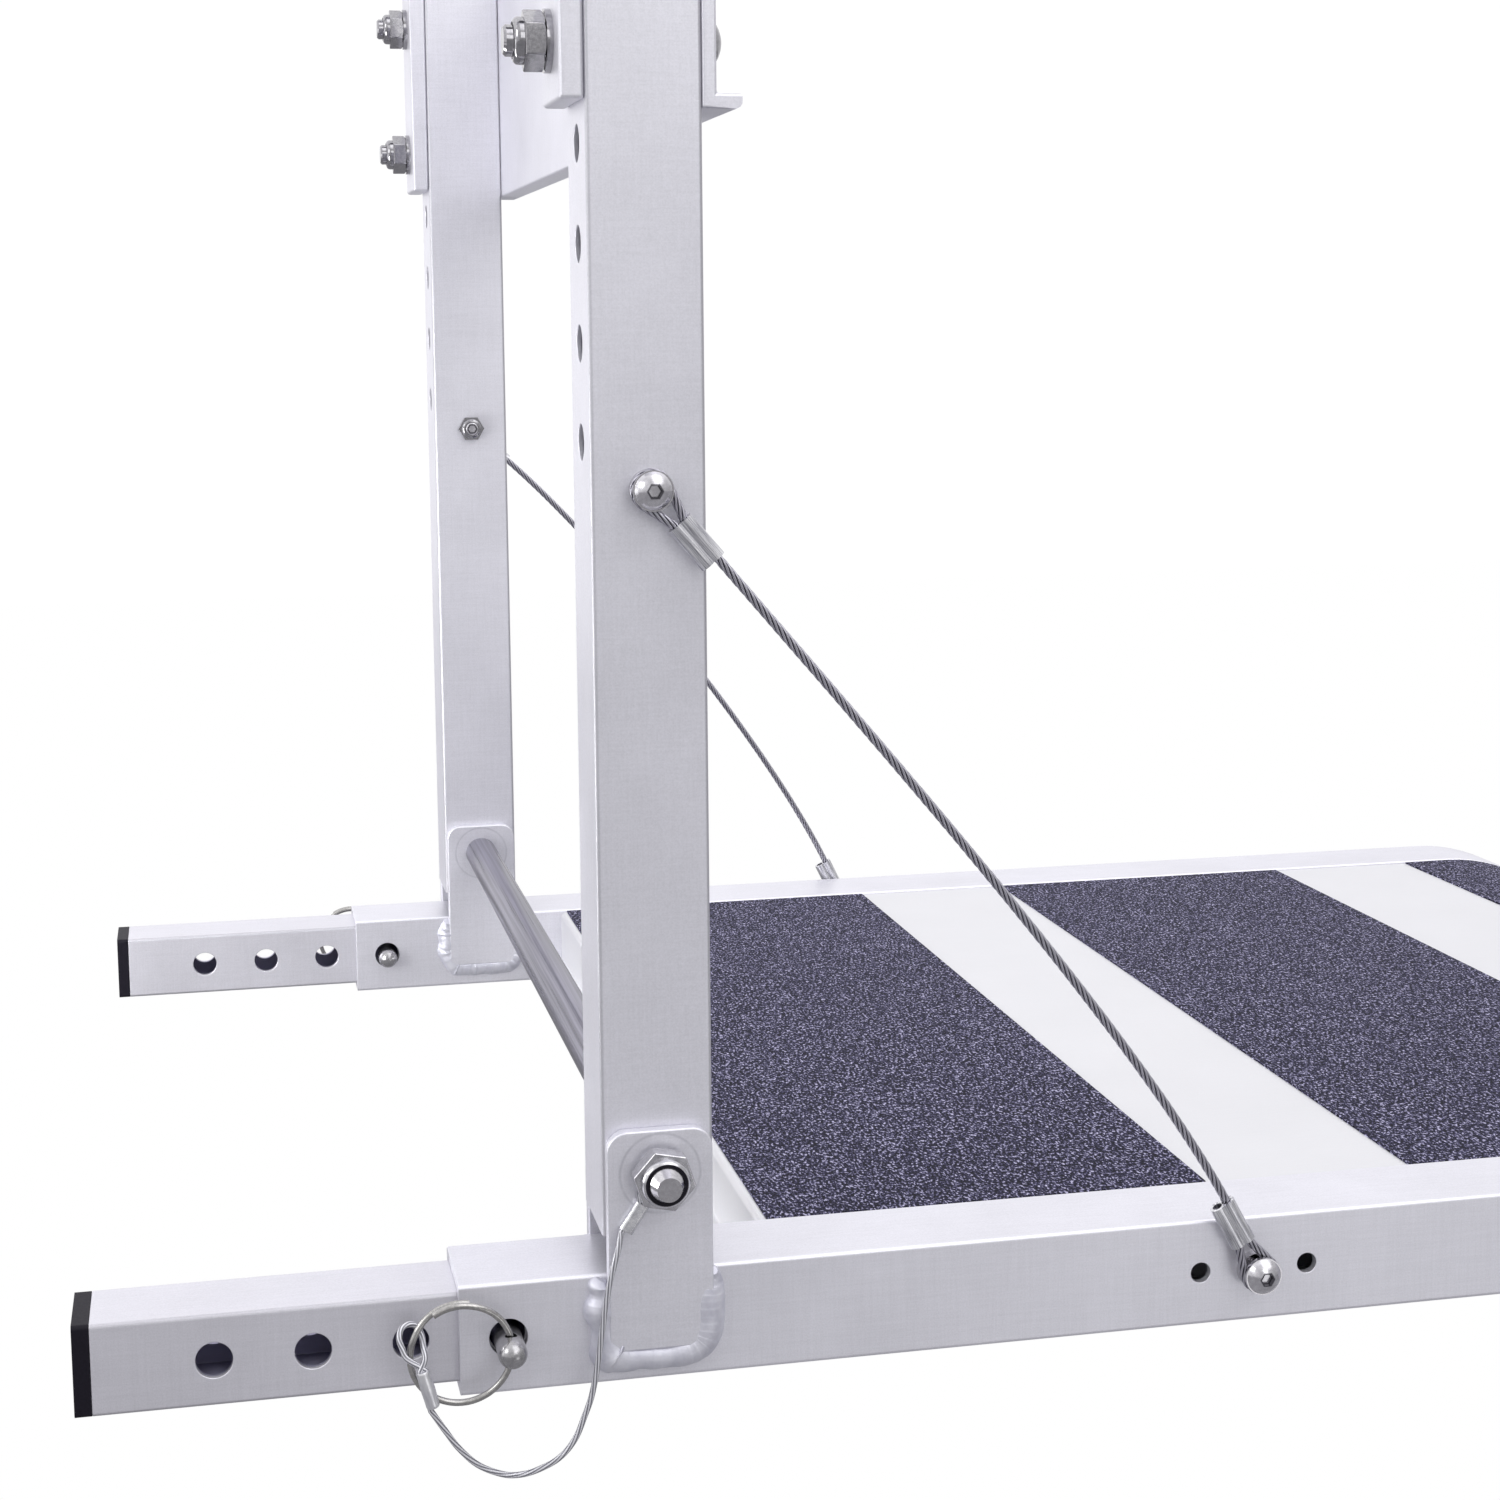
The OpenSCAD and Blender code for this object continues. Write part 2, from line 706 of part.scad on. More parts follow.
// Section of the deck's lip, as deep as the first cross tube, in heights above the rails' underside
module lip_section() {
    top_z = rail_s + deck_top;
    foot_z = rail_s + deck_under - cross_s;
    bend_z = foot_z + deck_t + lip_r;
    translate([deck_flat_x, top_z - deck_t - lip_r]) mirror([1, 0]) quarter_bend(lip_r, deck_t);
    translate([deck_start, bend_z]) square([deck_t, top_z - deck_t - lip_r - bend_z]);
    translate([deck_start - lip_r, bend_z]) mirror([0, 1]) quarter_bend(lip_r, deck_t);
    translate([lip_foot_x, foot_z]) square([deck_start - lip_r - lip_foot_x, deck_t]);
}

module deck_sheet() {
    color("gainsboro") placed() {
        deck_layer(deck_flat_x, deck_end, deck_top, deck_t, 2 * inner_y);
        translate([0, inner_y, 0]) rotate([90, 0, 0]) linear_extrude(2 * inner_y) lip_section();
    }
}

module deck_cross_tubes() {
    color("gainsboro") placed() for (u = cross_tube_at)
        on_deck(u) translate([0, inner_y, deck_under - cross_s / 2])
            rotate([90, 0, 0]) linear_extrude(2 * inner_y) tube_section(cross_s, cross_wall);
}

module grip_strips() {
    color("darkslategray") placed() for (i = [0 : strip_n - 1])
        deck_layer(strip_start + i * strip_pitch, strip_start + i * strip_pitch + strip_l,
            deck_top + strip_t, strip_t, 2 * (inner_y - strip_margin));
}

// Hinge

ear_outer_y = outer_y + ear_t;
ear_inner_y = inner_y - ear_t;

module ear_plate() {
    ear_h = hinge_z + ear_top - ear_foot_z;
    linear_extrude(ear_t) difference() {
        union() {
            translate([-ear_w / 2, ear_foot_z + ear_foot_r])
                square([ear_w, ear_h - ear_foot_r - ear_top_r]);
            translate([-ear_w / 2 + ear_foot_r, ear_foot_z])
                square([ear_w - 2 * ear_foot_r, ear_foot_r]);
            translate([-ear_w / 2 + ear_top_r, ear_foot_z + ear_h - ear_top_r])
                square([ear_w - 2 * ear_top_r, ear_top_r]);
            for (x = [-1, 1]) {
                translate([x * (ear_w / 2 - ear_foot_r), ear_foot_z + ear_foot_r])
                    circle(ear_foot_r);
                translate([x * (ear_w / 2 - ear_top_r), ear_foot_z + ear_h - ear_top_r])
                    circle(ear_top_r);
            }
        }
        translate([0, hinge_z]) circle(d = rod_d + 2 * rod_clear);
    }
}

module hinge_ears(side) {
    on_side(side) for (y = [ear_outer_y, inner_y])
        translate([0, y, 0]) rotate([90, 0, 0]) ear_plate();
}

module right_hinge_ears() {
    color("gainsboro") placed() hinge_ears(RIGHT);
}

module left_hinge_ears() {
    color("gainsboro") placed() hinge_ears(LEFT);
}

// Route of a weld round an ear's foot, each step a place on the ear's edge and its outward angle
weld_side_n = 10;
weld_corner_n = 6;
weld_foot_n = 14;
weld_top_z = rail_s - 1;
weld_corner_z = ear_foot_z + ear_foot_r;
weld_corner_x = ear_w / 2 - ear_foot_r;
weld_steps = concat(
    [for (i = [0 : weld_side_n])
        [-ear_w / 2, lerp(weld_top_z, weld_corner_z, i / weld_side_n), 180]],
    [for (i = [1 : weld_corner_n]) let(a = 180 + 90 * i / weld_corner_n)
        [-weld_corner_x + ear_foot_r * cos(a), weld_corner_z + ear_foot_r * sin(a), a]],
    [for (i = [1 : weld_foot_n - 1])
        [lerp(-weld_corner_x, weld_corner_x, i / weld_foot_n), ear_foot_z, 270]],
    [for (i = [0 : weld_corner_n]) let(a = 270 + 90 * i / weld_corner_n)
        [weld_corner_x + ear_foot_r * cos(a), weld_corner_z + ear_foot_r * sin(a), a]],
    [for (i = [1 : weld_side_n])
        [ear_w / 2, lerp(weld_corner_z, weld_top_z, i / weld_side_n), 360]]
);

// Section of the bead, as shares of its width and height, just clear of the ear's edge
weld_section = [[0, 0], [1, 0], [0.85, 0.5], [0.5, 0.9], [0, 1]];
weld_root_gap = 0.05;
weld_deck_gap = 0.5;
weld_inner_w = min(weld_w, lip_foot_x - ear_w / 2 - weld_deck_gap);

// Rippled bead in the corner between an ear's edge and the rail's face at z = 0
module weld_bead(w) {
    n = len(weld_section);
    points = [
        for (i = [0 : len(weld_steps) - 1])
            let(s = weld_steps[i], swell = i % 2 == 0 ? 1 : 0.84)
            for (q = weld_section)
                let(out = weld_root_gap + q[0] * (w - weld_root_gap) * swell)
                [s[0] + out * cos(s[2]), s[1] + out * sin(s[2]), q[1] * weld_h * swell]
    ];
    last_ring = (len(weld_steps) - 1) * n;
    walls = [
        for (i = [0 : len(weld_steps) - 2], k = [0 : n - 1])
            let(a = i * n + k, b = i * n + (k + 1) % n)
            each [[a, b + n, b], [a, a + n, b + n]]
    ];
    start_cap = [for (k = [1 : n - 2]) [0, k, k + 1]];
    end_cap = [for (k = [1 : n - 2]) [last_ring, last_ring + k + 1, last_ring + k]];
    polyhedron(points, concat(walls, start_cap, end_cap));
}

module ear_welds(side) {
    on_side(side) {
        translate([0, outer_y, 0]) mirror([0, 1, 0]) rotate([90, 0, 0]) weld_bead(weld_w);
        translate([0, inner_y, 0]) rotate([90, 0, 0]) weld_bead(weld_inner_w);
    }
}

module right_ear_welds() {
    color("lightgray") placed() ear_welds(RIGHT);
}

module left_ear_welds() {
    color("lightgray") placed() ear_welds(LEFT);
}

module hinge_rod() {
    full_l = outer_y + rod_out - rod_point_l;
    color("silver") placed() translate([0, 0, hinge_z]) on_both_sides() along_y() {
        cylinder(d = rod_d, h = full_l);
        translate([0, 0, full_l])
            cylinder(d1 = rod_d, d2 = rod_d - 2 * rod_point, h = rod_point_l);
    }
}

module hinge_spacer_tube() {
    bore_play = 0.15;
    color("slategray") placed() translate([0, -ear_inner_y, hinge_z]) along_y()
        linear_extrude(2 * ear_inner_y) difference() {
            circle(d = spacer_d);
            circle(d = rod_d + 2 * bore_play);
        }
}

// The nuts leave room for the lanyard's upper eye against the ear
eye_side_gap = 0.1;
hinge_nut_y = outer_y + lanyard_y + lanyard_d / 2 + eye_side_gap;
hinge_nut_turn = 12;

module at_hinge_nuts() {
    on_both_sides() translate([0, hinge_nut_y, hinge_z])
        along_y() rotate([0, 0, hinge_nut_turn]) children();
}

module hinge_nuts() {
    color("silver") placed() at_hinge_nuts() lock_nut(rod_d, rod_nut_af, rod_nut_h);
}

module hinge_nut_inserts() {
    color("black") placed() at_hinge_nuts() lock_nut_insert(rod_d, rod_nut_h);
}

// Arms

module arm(side) {
    on_side(side) difference() {
        translate([arm_in_x, rail_mid_y, rail_mid_z])
            along_x() linear_extrude(arm_out_x - arm_in_x) tube_section(arm_s, arm_wall);
        for (i = [0 : arm_hole_n - 1])
            translate([arm_first_x - i * hole_pitch, inner_y - 1, rail_mid_z])
                along_y() cylinder(d = adjust_hole_d, h = rail_s + 2);
    }
}

module right_arm() {
    color("gainsboro") placed() arm(RIGHT);
}

module left_arm() {
    color("gainsboro") placed() arm(LEFT);
}

module arm_caps() {
    color("black") placed() on_both_sides()
        translate([arm_in_x, rail_mid_y, rail_mid_z])
            rotate([0, -90, 0]) tube_cap(arm_s, arm_wall, arm_cap_t);
}

// Support cables

// Directions of a cable's two ferrules from their bolts
chord_angle = atan2(cable_top_z - rail_mid_z, -cable_low_x);
function upper_angle(tilts) = chord_angle - 180 + tilts[0];
function lower_angle(tilts) = chord_angle - tilts[1];
upper_bolt = [0, outer_y + cable_y, cable_top_z];
lower_bolt = [cable_low_x, outer_y + cable_y, rail_mid_z];

// A place beside an eye's axis, measured along it and across it
function eye_place(centre, angle, along, across) =
    centre + along * polar(angle) + across * polar(angle + 90);

// Loop round a bolt, from one strand of the ferrule to the other
function eye_loop(centre, angle, r, start, gap, side) =
    let(reach = norm([start, gap]), tangent = atan2(gap, start) + acos(r / reach), n = 14)
    [
        eye_place(centre, angle, start, side * gap),
        for (i = [0 : n])
            let(a = lerp(tangent, 360 - tangent, i / n))
            eye_place(centre, angle, r * cos(a), side * r * sin(a)),
        eye_place(centre, angle, start, -side * gap)
    ];

function bezier(a, b, c, d, t) =
    pow(1 - t, 3) * a + 3 * t * pow(1 - t, 2) * b + 3 * t * t * (1 - t) * c + pow(t, 3) * d;

// Free span between the two ferrules
function cable_span(tilts) =
    let(
        end = ferrule_start + ferrule_l,
        a = eye_place(upper_bolt, upper_angle(tilts), end, strand_gap),
        d = eye_place(lower_bolt, lower_angle(tilts), end, -strand_gap),
        handle = cable_handle * norm(d - a),
        b = a + handle * polar(upper_angle(tilts)),
        c = d + handle * polar(lower_angle(tilts)),
        n = 30
    )
    [for (i = [0 : n]) bezier(a, b, c, d, i / n)];

module support_cable(side, tilts) {
    up = upper_angle(tilts);
    low = lower_angle(tilts);
    end = ferrule_start + ferrule_l;
    route = concat(
        [eye_place(upper_bolt, up, end - rope_tail_recess, -strand_gap)],
        eye_loop(upper_bolt, up, cable_loop_r, ferrule_start, strand_gap, -1),
        cable_span(tilts),
        eye_loop(lower_bolt, low, cable_loop_r, ferrule_start, strand_gap, -1),
        [eye_place(lower_bolt, low, end - rope_tail_recess, strand_gap)]
    );
    on_side(side) swept_tube(route, cable_d / 2, -polar(up), polar(low));
}

module right_support_cable() {
    color("dimgray") placed() support_cable(RIGHT, right_tilts);
}

module left_support_cable() {
    color("dimgray") placed() support_cable(LEFT, left_tilts);
}

// Sleeve along +X pressed onto two strands, its waist a share of the barrels' thickness
module ferrule(l, strand_r, gap, skin, play, waist) {
    barrel_r = strand_r + skin;
    along_x() difference() {
        linear_extrude(l) {
            for (y = [-gap, gap])
                translate([0, y]) circle(barrel_r);
            square([2 * waist * barrel_r, 2 * gap], center = true);
        }
        for (y = [-gap, gap])
            translate([0, y, -1]) cylinder(r = strand_r + play, h = l + 2);
    }
}

// Places a ferrule drawn along +X on a cable's eye, X outwards from the bolt
module at_eye(centre, angle, start) {
    translate(centre) rotate([0, -angle, 0]) translate([start, 0, 0]) children();
}

module cable_ferrule() {
    ferrule(ferrule_l, cable_d / 2, strand_gap, ferrule_skin, ferrule_play, ferrule_waist);
}

module upper_ferrules() {
    color("silver") placed() {
        on_side(RIGHT) at_eye(upper_bolt, upper_angle(right_tilts), ferrule_start) cable_ferrule();
        on_side(LEFT) at_eye(upper_bolt, upper_angle(left_tilts), ferrule_start) cable_ferrule();
    }
}

module lower_ferrules() {
    color("silver") placed() {
        on_side(RIGHT) at_eye(lower_bolt, lower_angle(right_tilts), ferrule_start) cable_ferrule();
        on_side(LEFT) at_eye(lower_bolt, lower_angle(left_tilts), ferrule_start) cable_ferrule();
    }
}

// Grooved ring that lines an eye, centred on the rope
module thimble() {
    floor_r = thimble_bore_r + thimble_skin;
    flange_r = cable_loop_r + thimble_wrap * cable_d / 2;
    along_y() rotate_extrude() difference() {
        translate([thimble_bore_r, -thimble_half_w])
            square([flange_r - thimble_bore_r, 2 * thimble_half_w]);
        translate([floor_r, -thimble_half_w + thimble_skin])
            square([flange_r, 2 * (thimble_half_w - thimble_skin)]);
    }
}

module upper_thimbles() {
    color("silver") placed() on_both_sides() translate(upper_bolt) thimble();
}

module lower_thimbles() {
    color("silver") placed() on_both_sides() translate(lower_bolt) thimble();
}

// Bolt stack from a washer under the head to a lock nut behind the tube
cable_socket_af = 0.62 * cable_bolt_d;
cable_washer_d = cable_head_d + cable_washer_rim;

module cable_bolt(nut_y) {
    head_y = outer_y + cable_y + thimble_half_w + cable_washer_t;
    translate([0, head_y, 0]) rotate([90, 0, 0])
        button_bolt(cable_bolt_d, head_y - nut_y + cable_nut_h + cable_bolt_tail, cable_head_d,
            cable_head_h, cable_socket_af);
}

module cable_washer() {
    translate([0, outer_y + cable_y + thimble_half_w, 0]) along_y()
        washer(cable_bolt_d + cable_washer_play, cable_washer_d, cable_washer_t);
}

module cable_spacer(seat_y) {
    translate([0, seat_y, 0]) along_y()
        washer(cable_bolt_d + cable_washer_play, cable_washer_d,
            outer_y + cable_y - thimble_half_w - seat_y);
}

module cable_nut(nut_y) {
    translate([0, nut_y, 0]) rotate([90, 0, 0]) lock_nut(cable_bolt_d, cable_nut_af, cable_nut_h);
}

module at_upper_bolts() {
    on_both_sides() translate([0, 0, cable_top_z]) children();
}

module at_lower_bolts() {
    on_both_sides() translate([cable_low_x, 0, rail_mid_z]) children();
}

module upper_cable_bolts() {
    color("silver") placed() at_upper_bolts() cable_bolt(upright_in_y);
}

module upper_cable_spacers() {
    color("silver") placed() at_upper_bolts() cable_spacer(upright_out_y);
}

module upper_cable_washers() {
    color("silver") placed() at_upper_bolts() cable_washer();
}

module upper_cable_nuts() {
    color("silver") placed() at_upper_bolts() cable_nut(upright_in_y);
}

module lower_cable_bolts() {
    color("silver") placed() at_lower_bolts() cable_bolt(inner_y);
}

module lower_cable_spacers() {
    color("silver") placed() at_lower_bolts() cable_spacer(outer_y);
}

module lower_cable_washers() {
    color("silver") placed() at_lower_bolts() cable_washer();
}

module lower_cable_nuts() {
    color("silver") placed() at_lower_bolts() cable_nut(inner_y);
}

// Locking pins and their pull rings

module locking_pin(side) {
    pin_l = pin_out + rail_s + pin_in;
    on_side(side) difference() {
        translate([-pin_x, inner_y - pin_in, pin_z]) along_y() {
            translate([0, 0, pin_tip_r]) sphere(pin_tip_r);
            translate([0, 0, pin_tip_r]) cylinder(d = pin_d, h = pin_l - 2 * pin_tip_r);
            translate([0, 0, pin_l - pin_tip_r]) sphere(pin_tip_r);
        }
        translate([-pin_x, outer_y + ring_y, pin_z - pin_d])
            cylinder(d = ring_hole_d, h = 2 * pin_d);
    }
}

module right_pin() {
    color("silver") placed() locking_pin(RIGHT);
}

module left_pin() {
    color("silver") placed() locking_pin(LEFT);
}

// Share of a crank that the ring has turned through at an angle
function cranked(a, span) = smooth((a - span[0]) / (span[1] - span[0]));
function ring_crank(a) =
    (ring_wire_d + ring_lap_gap) / 2 * (cranked(a, ring_first_crank) - cranked(a, ring_last_crank));

module pull_ring(side) {
    n = 54;
    ring_x = -pin_x - ring_r + ring_hang;
    route = [
        for (i = [0 : n])
            let(a = ring_start - ring_turn * i / n)
            [ring_x + ring_r * cos(a), outer_y + ring_y + ring_crank(a), pin_z + ring_r * sin(a)]
    ];
    first = ring_start - 90;
    on_side(side) swept_tube(route, ring_wire_d / 2, polar(first), polar(first - ring_turn));
}

module right_pull_ring() {
    color("silver") placed() pull_ring(RIGHT);
}

module left_pull_ring() {
    color("silver") placed() pull_ring(LEFT);
}

// Lanyard from the right pull ring to the right end of the hinge rod

function off_rail(p) = [p[0], outer_y + p[1], p[2]];
lanyard_eye_centre = [0, outer_y + lanyard_y, hinge_z];
lanyard_top_end = lanyard_ferrule_start + lanyard_ferrule_l;
rod_eye_gap = 0.3;

module lanyard_upper_eye() {
    loop_r = rod_d / 2 + rod_eye_gap + lanyard_d / 2;
    seat = lanyard_ferrule_start + lanyard_seat;
    route = concat(
        [eye_place(lanyard_eye_centre, lanyard_angle, seat, lanyard_strand_gap)],
        eye_loop(lanyard_eye_centre, lanyard_angle, loop_r, lanyard_ferrule_start,
            lanyard_strand_gap, 1),
        [eye_place(lanyard_eye_centre, lanyard_angle, seat, -lanyard_strand_gap)]
    );
    color("lightgray") placed() on_side(RIGHT)
        swept_tube(route, lanyard_d / 2, -polar(lanyard_angle), polar(lanyard_angle));
}

module lanyard_upper_ferrule() {
    color("silver") placed() on_side(RIGHT)
        at_eye(lanyard_eye_centre, lanyard_angle, lanyard_ferrule_start)
            ferrule(lanyard_ferrule_l, lanyard_d / 2, lanyard_strand_gap, lanyard_skin, lanyard_play, 1);
}

// The lower eye hooks round the ring, its outboard leg behind it and its inboard leg in front
low_ferrule_axis = unit(lanyard_low_end - lanyard_low_top);
low_ferrule_across = -unit(cross(low_ferrule_axis, [0, 1, 0]));

module lanyard_lower_eye() {
    mouth = off_rail(lanyard_low_top);
    legs = [for (side = [1, -1]) mouth + side * lanyard_strand_gap * low_ferrule_across];
    seat = lanyard_seat * low_ferrule_axis;
    loop = smooth_route(concat([legs[0]], [for (p = lanyard_eye_route) off_rail(p)], [legs[1]]), 3);
    color("lightgray") placed() on_side(RIGHT)
        swept_tube(concat([legs[0] + seat], loop, [legs[1] + seat]), lanyard_d / 2,
            -low_ferrule_axis, low_ferrule_axis);
}

module lanyard_lower_ferrule() {
    l = norm(lanyard_low_end - lanyard_low_top);
    angle = atan2(low_ferrule_axis[2], low_ferrule_axis[0]);
    color("silver") placed() on_side(RIGHT)
        at_eye(off_rail(lanyard_low_top), angle, 0)
            ferrule(l, lanyard_d / 2, lanyard_strand_gap, lanyard_skin, lanyard_play, 1);
}

module lanyard_cord() {
    top_axis = polar(lanyard_angle);
    top = eye_place(lanyard_eye_centre, lanyard_angle, lanyard_top_end, -lanyard_strand_gap);
    foot = off_rail(lanyard_low_end) + lanyard_strand_gap * low_ferrule_across;
    route = concat(
        [foot - lanyard_seat * low_ferrule_axis],
        smooth_route(concat([foot + lanyard_lead * low_ferrule_axis],
            [for (p = lanyard_route) off_rail(p)], [top + lanyard_lead * top_axis]), 3),
        [top - lanyard_seat * top_axis]
    );
    color("lightgray") placed() on_side(RIGHT)
        swept_tube(route, lanyard_d / 2, low_ferrule_axis, -polar(lanyard_angle));
}

right_upright();
left_upright();
upright_caps();
right_hanger_bar();
left_hanger_bar();
cross_angle();
hanger_bolts();
hanger_washers();
hanger_nuts();
upper_cable_bolts();
upper_cable_spacers();
upper_cable_washers();
upper_cable_nuts();
upper_thimbles();
upper_ferrules();
right_support_cable();
left_support_cable();
right_rail();
left_rail();
rail_end_caps();
deck_sheet();
deck_cross_tubes();
grip_strips();
right_hinge_ears();
left_hinge_ears();
right_ear_welds();
left_ear_welds();
hinge_rod();
hinge_spacer_tube();
hinge_nuts();
hinge_nut_inserts();
right_arm();
left_arm();
arm_caps();
lower_cable_bolts();
lower_cable_spacers();
lower_cable_washers();
lower_cable_nuts();
lower_thimbles();
lower_ferrules();
lanyard_upper_eye();
lanyard_upper_ferrule();
lanyard_cord();
right_pin();
left_pin();
right_pull_ring();
left_pull_ring();
lanyard_lower_ferrule();
lanyard_lower_eye();
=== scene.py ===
# Looks of a folding dog platform for a boat's side, on its CAD parts, in metres
import math
import bmesh
import bpy
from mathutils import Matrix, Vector
from mathutils.kdtree import KDTree


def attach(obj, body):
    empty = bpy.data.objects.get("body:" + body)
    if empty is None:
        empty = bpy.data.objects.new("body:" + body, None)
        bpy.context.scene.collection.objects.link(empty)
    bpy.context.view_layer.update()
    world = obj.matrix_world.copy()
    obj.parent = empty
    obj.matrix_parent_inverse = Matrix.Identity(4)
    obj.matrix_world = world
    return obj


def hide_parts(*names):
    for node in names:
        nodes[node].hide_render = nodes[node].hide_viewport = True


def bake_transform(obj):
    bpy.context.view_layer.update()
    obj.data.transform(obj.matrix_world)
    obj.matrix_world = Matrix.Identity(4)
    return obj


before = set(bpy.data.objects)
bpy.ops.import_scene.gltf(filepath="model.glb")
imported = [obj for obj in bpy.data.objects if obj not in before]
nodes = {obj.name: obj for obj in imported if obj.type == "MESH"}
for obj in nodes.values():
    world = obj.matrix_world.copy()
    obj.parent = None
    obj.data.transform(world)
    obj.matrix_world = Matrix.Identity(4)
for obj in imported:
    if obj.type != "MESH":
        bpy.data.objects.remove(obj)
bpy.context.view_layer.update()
print("frame loaded")


# Camera, at the photograph's height and angle
viewPoint = {
    "place": (-0.05538, -1.06047, -0.23606),
    "turn": (82.2813, 0.4895, -12.1828),
    "lens": 59.56,
    "shift": (0.0127, -0.0572),
}
cameraData = bpy.data.cameras.new("camera")
cameraData.lens = viewPoint["lens"]
cameraData.sensor_width = 36
cameraData.sensor_fit = "HORIZONTAL"
cameraData.shift_x, cameraData.shift_y = viewPoint["shift"]
cameraData.clip_start = 0.01
camera = bpy.data.objects.new("camera", cameraData)
camera.location = viewPoint["place"]
camera.rotation_euler = [math.radians(a) for a in viewPoint["turn"]]
bpy.context.scene.collection.objects.link(camera)
bpy.context.scene.camera = camera
bpy.context.scene.view_settings.view_transform = "Standard"
print("camera placed")


# Places in the drawing, in millimetres from the hinge line, as (X, distance from the middle, Z)
drawing = {
    "originX": 86,
    "originZ": 585,
    "outerY": 279.4,
    "railS": 38.1,
    "hingeZ": 72.7,
    "earW": 35.5,
    "earFootZ": 12,
}
millimetre = 0.001
rightSide, leftSide = -1, 1


def toRow(p, side):
    return Vector(((p[0] + drawing["originX"]) / 1000, side * p[1] / 1000, (p[2] - drawing["originZ"]) / 1000))


def polar(angle):
    a = math.radians(angle)
    return Vector((math.cos(a), 0, math.sin(a)))


def smoothRoute(points, steps):  # one smooth curve through given points
    points = [Vector(p) for p in points]
    n = len(points)
    made = []
    for i in range(n - 1):
        a, b, c, d = points[max(i - 1, 0)], points[i], points[i + 1], points[min(i + 2, n - 1)]
        for s in range(steps):
            t = s / steps
            made.append(0.5 * (2 * b + (c - a) * t + (2 * a - 5 * b + 4 * c - d) * t * t
                               + (3 * b - a - 3 * c + d) * t ** 3))
    made.append(points[-1])
    return made


def evenRoute(points, step):  # the same line with its points a step apart
    points = [Vector(p) for p in points]
    run = [0.0]
    for a, b in zip(points, points[1:]):
        run.append(run[-1] + (b - a).length)
    count = max(2, round(run[-1] / step))
    made, k = [], 0
    for i in range(count + 1):
        want = run[-1] * i / count
        while k < len(points) - 2 and run[k + 1] < want:
            k += 1
        gap = run[k + 1] - run[k]
        made.append(points[k].lerp(points[k + 1], (want - run[k]) / gap if gap else 0))
    return made


def routeLength(points):
    return sum((b - a).length for a, b in zip(points, points[1:]))


def meshTubes(name, routes, radius, rounds=3, swells=None):  # round tubes along routes, with UVs along and round them
    line = bpy.data.curves.new(name, "CURVE")
    line.dimensions = "3D"
    line.bevel_depth = radius
    line.bevel_resolution = rounds
    line.use_fill_caps = True
    for k, route in enumerate(routes):
        spline = line.splines.new("POLY")
        spline.use_smooth = True
        spline.points.add(len(route) - 1)
        for i, p in enumerate(route):
            spline.points[i].co = (p[0], p[1], p[2], 1)
            spline.points[i].radius = swells[k][i] if swells else 1
    holder = bpy.data.objects.new(name + "Line", line)
    bpy.context.scene.collection.objects.link(holder)
    mesh = bpy.data.meshes.new_from_object(holder.evaluated_get(bpy.context.evaluated_depsgraph_get()))
    bpy.data.objects.remove(holder)
    mesh.name = name
    return mesh


def putInScene(name, mesh):
    made = bpy.data.objects.new(name, mesh)
    bpy.context.scene.collection.objects.link(made)
    return made


def standFor(piece, node, body):  # the piece moves with the body and takes the CAD node's place
    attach(piece, body)
    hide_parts(node)
    return piece


def laidStrands(route, strands, ropeRadius, layLength):  # centre lines of a rope's outer strands
    strandRadius = ropeRadius * math.sin(math.pi / strands) / (1 + math.sin(math.pi / strands))
    ringRadius = ropeRadius - strandRadius
    lines = [[] for _ in range(strands)]
    across, run = None, 0.0
    for i, p in enumerate(route):
        ahead = (route[min(i + 1, len(route) - 1)] - route[max(i - 1, 0)]).normalized()
        if across is None:
            across = ahead.cross(Vector((0, 1, 0))).normalized()
        across = (across - across.dot(ahead) * ahead).normalized()
        up = ahead.cross(across)
        if i:
            run += (p - route[i - 1]).length
        for k in range(strands):
            a = 2 * math.pi * (run / layLength + k / strands)
            lines[k].append(p + ringRadius * (math.cos(a) * across + math.sin(a) * up))
    return lines, strandRadius


# Lanyard between the right pull ring and the hinge rod, in millimetres and degrees
lanyard = {
    "diameter": 2,
    "lay": 7.5,
    "smoothing": 6,
    "onRing": 8,  # points at the low end that go with the ring
    "eyeY": 6.1,
    "eyeR": 7.3,
    "eyeStep": 0.7,
    "angle": 236.5,
    "ferruleStart": 11.4,
    "ferruleEnd": 21.8,
    "strandGap": 1.15,
    "seat": 2,
    "lead": 1,
    "lowTop": (-80.3, 10.9, 14.9),
    "lowEnd": (-77, 11, 2.5),
    "splitAt": 4,
    "route": [(-73.5, 10.5, -6), (-69, 10, -13), (-63, 9.5, -19.5), (-56, 9, -23.5), (-50.5, 8.5, -25),
              (-44, 8, -24.5), (-36, 8, -21), (-30.5, 8, -15), (-27, 8, -7), (-24.5, 8, 0), (-22.5, 8, 10),
              (-21, 8, 20), (-19.5, 8, 30), (-17.5, 8, 40), (-15, 7.5, 48.5)],
    "eye": [(-79.3, 9.9, 18.2), (-79.4, 6.6, 21.4), (-79.7, 3.9, 24.4), (-81.2, 2.9, 26.9), (-83.6, 3.1, 28),
            (-86.1, 4.2, 27.2), (-87.1, 6.2, 24.8), (-86.3, 7.5, 21.8), (-84.8, 8.9, 18.6)],
}


def offRail(p):
    return Vector((p[0], p[1] + drawing["outerY"], p[2]))


def eyePlace(centre, angle, along, across):
    return Vector(centre) + along * polar(angle) + across * polar(angle + 90)


